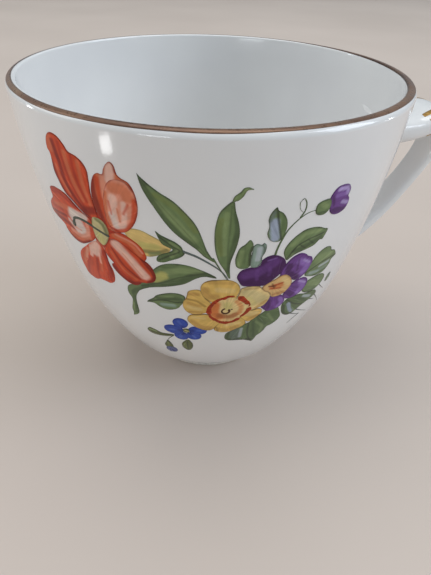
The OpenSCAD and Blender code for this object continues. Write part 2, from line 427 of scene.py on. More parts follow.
def along_strap(t):
    """Strap station at t, counted in stations from the upper root."""
    ends = np.vstack([2 * STRAP[0] - STRAP[1], STRAP, 2 * STRAP[-1] - STRAP[-2]])
    i = min(int(t), len(STRAP) - 2)
    return curve_point(*ends[i:i + 4], t - i)


def wall_gap(x, y, z):
    """Rough distance of a point outside the cup's outer wall."""
    arc = next((i for i in range(3) if z > wall(sum(ARC_L[:i + 1]))[1]), 2)
    c = ARC_C[arc]
    return math.hypot(math.hypot(x, y) - c[0], z - c[1]) - ARC_R[arc]


def strap_point(t, a, h=0.0):
    """Point on the strap's skin at station t and angle a round its section, lifted by h."""
    s = along_strap(t)
    d = along_strap(t + 0.01)[:2] - along_strap(t - 0.01)[:2]
    d /= np.linalg.norm(d)
    w, k = [math.copysign(abs(q) ** SECTION_ROUND, q) for q in (math.cos(a), math.sin(a))]

    def at(grow):
        side, lift = w * (s[2] / 2 + grow), k * (s[3] / 2 + grow)
        return np.array([s[0] - d[1] * lift, side, s[1] + d[0] * lift])

    p = at(h)
    gap = wall_gap(*p)
    if gap < FILLET:
        p = at(h + FILLET_W * (1 - max(gap, 0.0) / FILLET) ** 2)
    return p * MM


def root_stop(a, t, step):
    """Station at which the skin line at angle a has sunk ROOT_DEEP into the cup's wall."""
    while wall_gap(*(strap_point(t, a) / MM)) > -ROOT_DEEP and -1 < t < 12:
        t += step
    return t


def make_handle():
    sides = 56
    angles = [2 * math.pi * j / sides for j in range(sides)]
    upper = [root_stop(a, ROOT_FROM, -0.01) for a in angles]
    lower = [root_stop(a, ROOT_TO, 0.01) for a in angles]
    rows = [[u + (ROOT_FROM - u) * f for u in upper] for f in np.linspace(0, 1, 22)]
    rows += [[t] * sides for t in np.linspace(ROOT_FROM, ROOT_TO, 90)[1:]]
    rows += [[ROOT_TO + (u - ROOT_TO) * f for u in lower] for f in np.linspace(0, 1, 30)[1:]]
    verts = [strap_point(t, a) for row in rows for t, a in zip(row, angles)]
    n = len(rows)
    faces = [(k * sides + j, k * sides + (j + 1) % sides,
              (k + 1) * sides + (j + 1) % sides, (k + 1) * sides + j)
             for k in range(n - 1) for j in range(sides)]
    faces.append(tuple(range(sides))[::-1])
    faces.append(tuple((n - 1) * sides + j for j in range(sides)))
    return new_mesh("cup_handle", verts, faces)


# Brush strokes on the handle: first and last station, angle round the section at each, and half
# the width as an angle.
GOLD_STROKES = [
    (2.35, 3.9, 2.25, 1.9, 0.14), (2.5, 4.1, 2.62, 2.4, 0.1), (2.35, 3.8, -2.75, -2.6, 0.12),
    (2.6, 4.0, -2.35, -2.2, 0.1), (2.35, 3.9, 0.89, 1.24, 0.14), (2.5, 4.1, 0.52, 0.74, 0.1)]


def make_gold_strokes():
    """Each stroke is a thin closed pad on the strap's skin, pointed where the brush lifted."""
    along, across = 24, 7
    verts, faces = [], []
    for t0, t1, a0, a1, half in GOLD_STROKES:
        base = len(verts)
        for lift in (0.05, -0.12):
            for i in range(along):
                f = i / (along - 1)
                width = half * math.sqrt(max(0.02, math.sin(math.pi * min(1, 0.12 + 0.8 * f))))
                width *= 1 + 0.12 * math.sin(9 * f + t0)
                for j in range(across):
                    g = 2 * j / (across - 1) - 1
                    up = lift if lift < 0 else lift * (1 - 0.7 * g * g)
                    a = a0 + (a1 - a0) * f + width * g
                    verts.append(strap_point(t0 + (t1 - t0) * f, a, up))
        under = along * across
        ids = np.arange(base, base + under).reshape(along, across).tolist()
        for i in range(along - 1):
            for j in range(across - 1):
                q = (ids[i][j], ids[i + 1][j], ids[i + 1][j + 1], ids[i][j + 1])
                faces.append(q)
                faces.append(tuple(x + under for x in q[::-1]))
        rim = [row[0] for row in ids] + ids[-1][1:]
        rim += [row[-1] for row in ids[-2::-1]] + ids[0][-2:0:-1]
        for x, y in zip(rim, rim[1:] + rim[:1]):
            faces.append((y, x, x + under, y + under))
    return new_mesh("handle_gold_strokes", verts, faces)


# ---- painting ----------------------------------------------------------------------------

# Every colour is darkened by PAINT_DEPTH, so that it keeps its look under the lights.
PAINT_DEPTH = 0.88
PAINTS = {
    "vermilion": (214, 78, 40), "brick": (186, 52, 28), "maroon": (142, 34, 22),
    "dark_maroon": (98, 26, 24), "coral": (222, 120, 78), "salmon": (238, 158, 130),
    "blush": (248, 200, 180), "pale": (232, 214, 202),
    "cream": (214, 200, 146), "moss": (104, 110, 66), "stamen": (84, 90, 78),
    "leaf": (118, 138, 92), "leaf_mid": (102, 122, 80), "leaf_dark": (80, 96, 66),
    "leaf_light": (148, 166, 112), "leaf_ink": (62, 68, 52), "olive": (130, 142, 82),
    "lime": (206, 200, 118), "straw": (238, 204, 128), "grey_green": (150, 170, 154),
    "mist": (196, 204, 206), "slate": (112, 122, 118), "bluish": (174, 184, 204),
    "primrose": (236, 194, 106), "butter": (242, 212, 146), "ochre": (206, 160, 88),
    "tan": (172, 134, 70), "rust": (186, 64, 24), "dark_rust": (124, 38, 16),
    "orange": (222, 118, 54), "sienna": (178, 104, 56), "umber": (92, 56, 34),
    "violet": (116, 70, 144), "deep_violet": (76, 36, 88), "lilac": (160, 120, 198),
    "mauve": (192, 170, 222), "apricot": (236, 192, 128), "bronze": (138, 92, 58),
    "blue": (54, 82, 178), "deep_blue": (34, 50, 128), "sky": (92, 120, 204),
    "dusk": (96, 104, 150), "ink": (52, 50, 46),
}
PAINTS = {name: linear(rgb) * PAINT_DEPTH for name, rgb in PAINTS.items()}
# Spacing of the painted net, height of the paint, rise of each layer and depth in the glaze.
GRAIN = 0.2
LAID = 0.05
LAYER = 0.022
SUNK = 0.12


def curve_through(points, closed, step):
    """Smooth curve through given points, sampled about step apart."""
    p = np.asarray(points, float)
    n = len(p)
    if n == 2:
        count = max(2, int(np.linalg.norm(p[1] - p[0]) / step) + 1)
        return np.linspace(p[0], p[1], count)
    if closed:
        ends = np.vstack([p[-1], p, p[:2]])
    else:
        ends = np.vstack([2 * p[0] - p[1], p, 2 * p[-1] - p[-2]])
    out = []
    for i in range(n if closed else n - 1):
        parts = max(1, int(np.linalg.norm(ends[i + 2] - ends[i + 1]) / step + 0.5))
        f = np.linspace(0, 1, parts, endpoint=False)[:, None]
        out.append(curve_point(*ends[i:i + 4], f))
    if not closed:
        out.append(p[-1:])
    return np.vstack(out)


def gap_to_line(q, line):
    """Distance from each point of q to a polyline."""
    best = np.full(len(q), 1e9)
    for a, b in zip(line[:-1], line[1:]):
        ab = b - a
        t = np.clip((q - a) @ ab / max(ab @ ab, 1e-9), 0, 1)
        best = np.minimum(best, np.linalg.norm(q - a - t[:, None] * ab, axis=1))
    return best


def inside(q, ring):
    x, y = q[:, :1], q[:, 1:]
    a, b = ring, np.roll(ring, -1, 0)
    cut = (a[:, 1] > y) != (b[:, 1] > y)
    with np.errstate(divide="ignore", invalid="ignore"):
        at = a[:, 0] + (y - a[:, 1]) * (b[:, 0] - a[:, 0]) / (b[:, 1] - a[:, 1])
    return (cut & (x < at)).sum(1) % 2 == 1


def value_noise(x, y):
    """Smooth random values between -1 and 1 over a unit lattice."""
    ix, iy = np.floor(x), np.floor(y)
    fx, fy = x - ix, y - iy
    fx, fy = fx * fx * (3 - 2 * fx), fy * fy * (3 - 2 * fy)

    def lot(i, j):
        return np.modf(np.abs(np.sin(i * 127.1 + j * 311.7) * 43758.5))[0] * 2 - 1

    top = lot(ix, iy) * (1 - fx) + lot(ix + 1, iy) * fx
    low = lot(ix, iy + 1) * (1 - fx) + lot(ix + 1, iy + 1) * fx
    return top * (1 - fy) + low * fy


def fill(ring, spacing):
    """Triangles over a closed outline, with a hexagonal net of points inside."""
    lo, hi = ring.min(0), ring.max(0)
    rows = np.arange(lo[1], hi[1], spacing * 0.866)
    cols = np.arange(lo[0], hi[0], spacing)
    net = np.array([(x + (k % 2) * spacing / 2, y) for k, y in enumerate(rows) for x in cols])
    loop = np.vstack([ring, ring[:1]])
    if len(net):
        net = net[inside(net, ring)]
    if len(net):
        net = net[gap_to_line(net, loop) > spacing * 0.75]
    step = np.roll(ring, -1, 0) - np.roll(ring, 1, 0)
    step /= np.linalg.norm(step, axis=1)[:, None]
    inset = ring + spacing * 0.45 * np.stack([-step[:, 1], step[:, 0]], 1)
    inset = inset[inside(inset, ring) & (gap_to_line(inset, loop) > spacing * 0.35)]
    pts = np.vstack([ring, inset, net]) if len(net) else np.vstack([ring, inset])
    n = len(ring)
    made = delaunay_2d_cdt([Vector(p) for p in pts], [], [list(range(n))], 1, 1e-5)
    verts = np.array([tuple(v) for v in made[0]])
    return verts, [tuple(f) for f in made[2]]


class Sheet:
    """One painted shape: its outline, its ground colour and the strokes laid over it.

    A stroke is (colour, width, points) with an optional strength. Brush hairs run out from root.
    """

    def __init__(self, outline, ground, root, strokes=(), edge=None, layer=0, streak=0.5):
        ring = curve_through(outline, True, GRAIN)
        turned = np.roll(ring, -1, 0)
        area = np.sum(ring[:, 0] * turned[:, 1] - turned[:, 0] * ring[:, 1])
        self.ring = ring if area > 0 else ring[::-1]
        self.ground, self.root, self.strokes = ground, np.asarray(root, float), strokes
        self.edge, self.layer, self.streak = edge, layer, streak

    def paint(self, q):
        away = q - self.root
        r = np.linalg.norm(away, axis=1)
        a = np.arctan2(away[:, 1], away[:, 0])
        hair = value_noise(a * 22 + 7, r * 0.3) * 0.6 + value_noise(a * 47 + 3, r * 0.5) * 0.4
        blot = value_noise(q[:, 0] * 0.8 + 40, q[:, 1] * 0.8 + 40)
        colour = np.tile(PAINTS[self.ground], (len(q), 1))
        colour *= (1 + self.streak * 0.22 * hair + 0.06 * blot)[:, None]

        def lay(paint, cover):
            nonlocal colour
            tone = PAINTS[paint] * (1 + self.streak * 0.12 * hair)[:, None]
            colour = colour * (1 - cover[:, None]) + tone * cover[:, None]

        for paint, width, line, *strength in self.strokes:
            soft = 0.2 + width * 0.3
            fray = 0.25 * min(width, 1.2) * self.streak * hair
            gap = gap_to_line(q, curve_through(line, False, 0.5)) + fray
            cover = np.clip((width / 2 + soft / 2 - gap) / soft, 0, 1)
            lay(paint, cover * cover * (3 - 2 * cover) * (strength[0] if strength else 0.9))
        if self.edge:
            paint, width, strength = self.edge
            gap = gap_to_line(q, np.vstack([self.ring, self.ring[:1]]))
            gap = gap - width * 0.5 * blot - width * 0.25 * hair
            lay(paint, np.clip(1.15 - gap / width, 0, 1) * strength)
        return np.clip(colour, 0.001, 0.95), np.stack([a * 9, r * 0.12], 1)

    def body(self):
        """Closed body: a fine painted top with a rounded edge and a coarse underside in the glaze."""
        top, faces = fill(self.ring, GRAIN)
        gap = gap_to_line(top, np.vstack([self.ring, self.ring[:1]]))
        lift = -SUNK + (SUNK + LAID + LAYER * self.layer) * np.clip(gap / 0.09, 0, 1) ** 0.5
        low_v, low_f = fill(self.ring, 1.1)
        colour, hairs = self.paint(top)
        verts = [on_wall(top, lift), on_wall(low_v, np.full(len(low_v), -SUNK - 0.04))]
        n = len(top)
        faces = [f if self.up(top, f) else f[::-1] for f in faces]
        low = [tuple(n + i for i in (f[::-1] if self.up(low_v, f) else f)) for f in low_f]
        edges = dict.fromkeys((i, j) for f in faces for i, j in zip(f, f[1:] + f[:1]))
        border = [(i, j) for i, j in edges if (j, i) not in edges]
        below = {i: n + int(np.argmin(np.linalg.norm(low_v - top[i], axis=1))) for i, _ in border}
        skirt = [(j, i, below[i], below[j]) for i, j in border]
        ground = np.tile(PAINTS[self.ground], (len(low_v), 1))
        return (np.vstack(verts), faces + low + skirt, np.vstack([colour, ground]),
                np.vstack([hairs, np.zeros((len(low_v), 2))]))

    @staticmethod
    def up(p, f):
        """Wall coordinates run right and down, so outward faces turn clockwise in them."""
        a, b, c = p[f[0]], p[f[1]], p[f[2]]
        return (b[0] - a[0]) * (c[1] - a[1]) - (b[1] - a[1]) * (c[0] - a[0]) < 0


def painting(name, material, slot, node, sheets):
    verts, faces, colours, hairs = [], [], [], []
    n = 0
    for k, sheet in enumerate(sheets):
        v, f, c, h = sheet.body()
        verts.append(v)
        faces += [tuple(i + n for i in face) for face in f]
        colours.append(c)
        hairs.append(np.column_stack([h, np.full(len(h), k * 3.7)]))
        n += len(v)
    ob = new_mesh(name, np.vstack(verts), faces)
    me = ob.data
    colours, hairs = np.vstack(colours), np.vstack(hairs)
    paint = me.attributes.new("paint", "FLOAT_COLOR", "POINT")
    paint.data.foreach_set("color", np.column_stack([colours, np.ones(n)]).ravel())
    lines = me.attributes.new("hairs", "FLOAT_VECTOR", "POINT")
    lines.data.foreach_set("vector", hairs.ravel())
    return dress(ob, material, slot, node)


def ribbon(line, width, taper=0.4):
    """Closed outline round a brush line, tapered to its far end."""
    p = curve_through(line, False, 0.6)
    d = np.gradient(p, axis=0)
    d /= np.linalg.norm(d, axis=1)[:, None]
    half = width / 2 * np.linspace(1, taper, len(p))[:, None]
    side = np.stack([-d[:, 1], d[:, 0]], 1) * half
    return np.vstack([p + side, p[-1:] + d[-1:] * half[-1], (p - side)[::-1], p[:1] - d[:1] * half[0]])


def blob(u, v, across, tall=None):
    tall = tall or across
    return [(u + across / 2 * math.cos(a), v + tall / 2 * math.sin(a))
            for a in np.linspace(0, 2 * math.pi, 10, endpoint=False)]


def stem(line, width, layer=1, paint="leaf_mid"):
    return Sheet(ribbon(line, width), paint, line[0], (), ("leaf_ink", 0.14, 0.7), layer, 0.3)


# ---- the spray: points are (u, v) ----------------------------------------------------------


def lily_petals():
    root = (-18.6, 20.5)
    rim = ("dark_maroon", 0.3, 0.6)
    upper = [(-19.8, 18.6), (-21.5, 18), (-23.5, 16.3), (-25.2, 14.8), (-26, 12.8), (-26.4, 11),
             (-26.1, 8), (-26.5, 7), (-26.2, 5.4), (-25.4, 4.2), (-24.3, 3.8), (-23, 4.2), (-22, 5.3),
             (-21.4, 6.2), (-20, 6.6), (-18.9, 7.5), (-18.4, 8.8), (-18.5, 10.5), (-18.7, 13),
             (-18.6, 15), (-18.4, 17), (-19, 18.6)]
    yield Sheet(upper, "vermilion", root, [
        ("coral", 1.6, [(-25.4, 4.8), (-25.5, 6.6)], 0.6),
        ("coral", 0.9, [(-22.4, 6.6), (-22.2, 11), (-20.9, 15)], 0.75),
        ("coral", 0.8, [(-19.9, 7.6), (-19.9, 12), (-19.4, 15.4)], 0.75),
        ("brick", 0.6, [(-21.2, 6.8), (-21, 11), (-20, 15)], 0.8),
        ("brick", 0.6, [(-23.3, 5.2), (-23.1, 9), (-22.4, 13), (-21, 16)], 0.8),
        ("maroon", 0.9, [(-24.6, 5.2), (-24.2, 8), (-24.1, 11), (-23.6, 13.4), (-22.4, 15.4),
                         (-21, 17.2)]),
        ("maroon", 0.9, [(-26.2, 9), (-26, 12), (-25, 14.5), (-23, 16.6), (-20.5, 18.3)]),
        ("coral", 0.4, [(-25.3, 9.5), (-24.9, 12), (-23.6, 14.7)], 0.8),
        ("maroon", 1.6, [(-20.8, 17), (-18.8, 16.4)], 0.8)], rim, 2)
    right = [(-16.8, 19.6), (-17.8, 18), (-18.5, 16), (-18.7, 13.5), (-18.3, 11.2), (-17.5, 9.3),
             (-16.6, 8.6), (-15.8, 8.6), (-15.4, 7.6), (-14.8, 6.6), (-14.1, 6.1), (-13.5, 6.6),
             (-13.2, 8), (-12.7, 8.6), (-11.6, 9.2), (-10.9, 10.6), (-10.6, 12.6), (-10.8, 14.8),
             (-11.6, 17), (-12.9, 18.8), (-14.3, 19.7), (-15.7, 19.9)]
    yield Sheet(right, "coral", root, [
        ("maroon", 1.3, [(-17.9, 9.6), (-18.1, 12.4), (-17.8, 15.6), (-17.2, 18.6)]),
        ("vermilion", 1.0, [(-16.9, 9.6), (-16.9, 14), (-16.4, 18.8)], 0.9),
        ("salmon", 1.4, [(-15.4, 8.4), (-15.6, 10.4), (-15.8, 13)], 0.9),
        # The pale blush at this petal's tip is a painted highlight: it stands for the bright reflection
        # the glaze shows there.
        ("blush", 1.5, [(-14.2, 7), (-14.6, 9.4)], 0.9)], ("maroon", 0.32, 0.85), 2)
    front = [(-15.6, 19.9), (-16.5, 18.6), (-16.8, 16.5), (-16.5, 13.5), (-15.8, 11), (-14.8, 9.5),
             (-13.4, 8.9), (-12, 9.2), (-11, 10.6), (-10.6, 12.7), (-10.8, 14.9), (-11.6, 17.1),
             (-12.9, 18.9), (-14.3, 19.7)]
    yield Sheet(front, "salmon", root, [
        ("coral", 2.2, [(-14.2, 10.6), (-12.6, 10.8), (-12, 12)], 0.75),
        ("blush", 1.5, [(-14.3, 18.6), (-14.9, 15.6), (-14.6, 12.6)]),
        ("blush", 1.0, [(-13.6, 18.2), (-13.1, 15.6), (-12.9, 13.4)], 0.95),
        ("pale", 1.2, [(-15, 18.3), (-15.4, 16)], 0.8),
        ("coral", 0.35, [(-14.1, 17.2), (-14.2, 14.6)], 0.8),
        ("vermilion", 0.35, [(-15.4, 16), (-15.5, 13.4)], 0.7),
        ("vermilion", 0.5, [(-13.2, 15.4), (-12.2, 13.4)], 0.7),
        ("vermilion", 0.9, [(-11, 12.4), (-11.6, 16), (-13, 18.6), (-15.2, 19.6)]),
        ("coral", 0.8, [(-15.9, 11.8), (-16.4, 15.4), (-16.1, 18.4)], 0.85),
        ("brick", 0.5, [(-16.4, 18.8), (-14.5, 19.6)], 0.9)], ("maroon", 0.28, 0.8), 4)
    left = [(-20.3, 18.8), (-22, 17.8), (-23.5, 16.6), (-25, 15.4), (-26.5, 15), (-28.5, 15), (-30, 15.6),
            (-30.3, 16.4), (-30.4, 17.8), (-31.5, 18.8), (-32.6, 20), (-33.3, 21.6), (-33, 22.5),
            (-31.5, 23), (-30.3, 23.3), (-29.4, 23.8), (-29.2, 24.8), (-28.3, 25.9), (-26.8, 26.5),
            (-25, 26.4), (-23.3, 25.5), (-22, 24.6), (-21, 23.7), (-20.3, 22.5), (-20.2, 20.5)]
    yield Sheet(left, "vermilion", root, [
        ("coral", 1.2, [(-30, 19.4), (-27, 18.6), (-24, 18.4)], 0.6),
        ("brick", 1.0, [(-29.8, 16), (-26.5, 15.8), (-23.4, 17.2)], 0.9),
        ("maroon", 0.7, [(-33, 21.6), (-30.4, 21.3), (-27.4, 20.8)]),
        ("maroon", 1.0, [(-32, 22.6), (-28.4, 22.4), (-26.2, 22.9)], 0.8),
        ("brick", 0.8, [(-31.2, 20), (-28, 19.8)], 0.8),
        ("pale", 3.0, [(-24.6, 19.8), (-23.4, 22.8)], 0.95),
        ("pale", 1.6, [(-24.8, 18.7), (-21.8, 19)], 0.9),
        ("pale", 0.8, [(-26.6, 21.4), (-25, 23.4)], 0.8),
        ("coral", 0.35, [(-26.4, 22.4), (-23.8, 22.6)], 0.7),
        ("salmon", 1.0, [(-26.8, 23.8), (-24.4, 24.2), (-22.2, 22.8), (-21.6, 20.4)], 0.9),
        ("coral", 0.7, [(-27.6, 24.8), (-24.6, 25), (-21.8, 23.6)], 0.8),
        ("vermilion", 0.8, [(-20.8, 19.4), (-20.8, 22.6)], 0.9),
        ("maroon", 0.8, [(-29.2, 25), (-27, 26.2), (-24.4, 25.9), (-22.2, 24.5)])], rim, 3)
    low_left = [(-19.4, 24.5), (-20.5, 23.8), (-21.2, 24), (-22.8, 25.2), (-24.8, 27), (-26.5, 28.5),
                (-27.8, 30.3), (-28.4, 32.5), (-28.2, 34.5), (-27.8, 35.8), (-26.2, 36.2), (-24.8, 36),
                (-23.5, 35.3), (-22, 35.1), (-20.6, 35), (-19.3, 34), (-18.7, 32.3), (-18.6, 30.5),
                (-19, 28.5), (-19, 26.5)]
    yield Sheet(low_left, "vermilion", (-19.5, 22), [
        ("brick", 1.0, [(-19.6, 26), (-19.4, 30), (-20.2, 33.8)], 0.9),
        ("brick", 0.7, [(-22, 29), (-23.2, 32.6), (-23.8, 35)], 0.8),
        ("brick", 0.8, [(-24.4, 29.4), (-26.2, 32.6), (-27, 35.2)], 0.8),
        ("maroon", 0.5, [(-19.2, 25.6), (-19, 29), (-19.1, 32.4)], 0.8),
        ("coral", 0.8, [(-22.6, 26), (-25.2, 29), (-26.8, 32)], 0.8),
        ("coral", 0.6, [(-20.8, 28), (-21.8, 32)], 0.6),
        ("blush", 2.4, [(-21.2, 24.9), (-21.8, 26.8)], 0.95),
        ("blush", 0.9, [(-22.6, 25.8), (-23.4, 28.4)], 0.85),
        ("blush", 0.5, [(-21, 27), (-21.3, 29.6)], 0.7),
        ("salmon", 0.7, [(-24, 27), (-25.4, 30)], 0.85)], ("brick", 0.4, 0.4), 2, 0.9)
    small = [(-17.4, 21.6), (-16.6, 20.4), (-15.2, 19.8), (-13.8, 19.9), (-12.4, 20.7), (-11.2, 21.8),
             (-10.6, 23.2), (-10.5, 24.6), (-11.5, 25.6), (-14, 24.4)]
    yield Sheet(small, "vermilion", root, [
        ("coral", 0.8, [(-16, 20.8), (-13.4, 21.6), (-11.6, 24)], 0.9),
        ("salmon", 0.4, [(-15.6, 20.4), (-12.6, 21.4), (-11.1, 23.4)], 0.9)], ("maroon", 0.25, 0.6), 2)
    low_right = [(-18.8, 24.5), (-17.4, 22.3), (-16.2, 21.6), (-14.6, 22.2), (-13, 23.4), (-11.5, 24.8),
                 (-10.2, 26), (-9.4, 27.8), (-9.3, 29.3), (-9.9, 30.5), (-11.2, 31.2), (-12.3, 31.4),
                 (-13, 32.2), (-14.2, 32.7), (-15.6, 32.3), (-17, 31.2), (-18, 29.9), (-18.4, 28.6),
                 (-17.8, 28), (-18.5, 27), (-19.1, 25.6)]
    yield Sheet(low_right, "vermilion", root, [
        ("brick", 0.5, [(-18.2, 26), (-16.8, 29.6), (-14.2, 31.6)], 0.8),
        ("coral", 0.45, [(-17.6, 25), (-15.9, 28.8), (-13.4, 30.8)], 0.7),
        ("maroon", 0.4, [(-17.2, 24), (-15.4, 27.8), (-12.6, 30.4)], 0.8),
        ("blush", 2.0, [(-16, 22.8), (-14.3, 25), (-12.6, 27.6), (-11.6, 29.2)], 0.95),
        ("coral", 0.3, [(-15, 24.6), (-13.2, 27.6), (-12, 29.6)], 0.5),
        ("maroon", 0.9, [(-18, 28.8), (-16.4, 31.2), (-14.3, 32.1), (-12.8, 31.6)]),
        ("maroon", 0.7, [(-11.4, 25), (-9.8, 27.8), (-9.8, 29.8), (-11, 30.9)])], rim, 4)
    heart = [(-20.6, 17.5), (-18.4, 16.5), (-16.6, 18.4), (-15.6, 20), (-16.6, 22), (-18, 24.8),
             (-19.6, 25.4), (-20.5, 24.2), (-20.9, 21)]
    yield Sheet(heart, "brick", root, [("salmon", 0.8, [(-20.4, 24), (-19.2, 25.2)], 0.8)])
    throat = [(-20.2, 19.2), (-19.7, 18), (-18.6, 17.8), (-17.5, 18.4), (-17, 19.6), (-17, 21),
              (-17.6, 22.6), (-18.6, 24), (-19.3, 24), (-20.2, 22.8), (-20.4, 21)]
    yield Sheet(throat, "cream", (-18.4, 20.6), [
        ("moss", 0.7, [(-19, 18.2), (-17.8, 19), (-17.4, 21)], 0.8),
        ("lime", 1.2, [(-19, 21.6), (-18.8, 23.2)], 0.5)], ("moss", 0.25, 0.5), 5, 0.3)
    stamen = [(-17.2, 21.3), (-19.5, 20.5), (-21.5, 19.8), (-23.5, 19.7), (-24.8, 20.3), (-25.2, 21.6)]
    yield Sheet(ribbon(stamen, 0.7, 1), "stamen", (-17, 21), [], ("ink", 0.2, 0.5), 6, 0.3)
    yield Sheet(blob(-25.3, 21.6, 1.0, 1.5), "stamen", (-25, 21), [], ("ink", 0.25, 0.4), 7, 0.3)


def leaf(outline, rib, lights=(), darks=(), ground="leaf", layer=1, root=None, rib_w=0.35):
    """A leaf painted in one green, darkened at its edge, with its midrib drawn in last."""
    strokes = list(lights) + list(darks)
    if rib:
        strokes.append(("leaf_ink", rib_w, rib, 0.85))
    return Sheet(outline, ground, root or outline[0], strokes, ("leaf_ink", 0.3, 0.75), layer, 0.6)


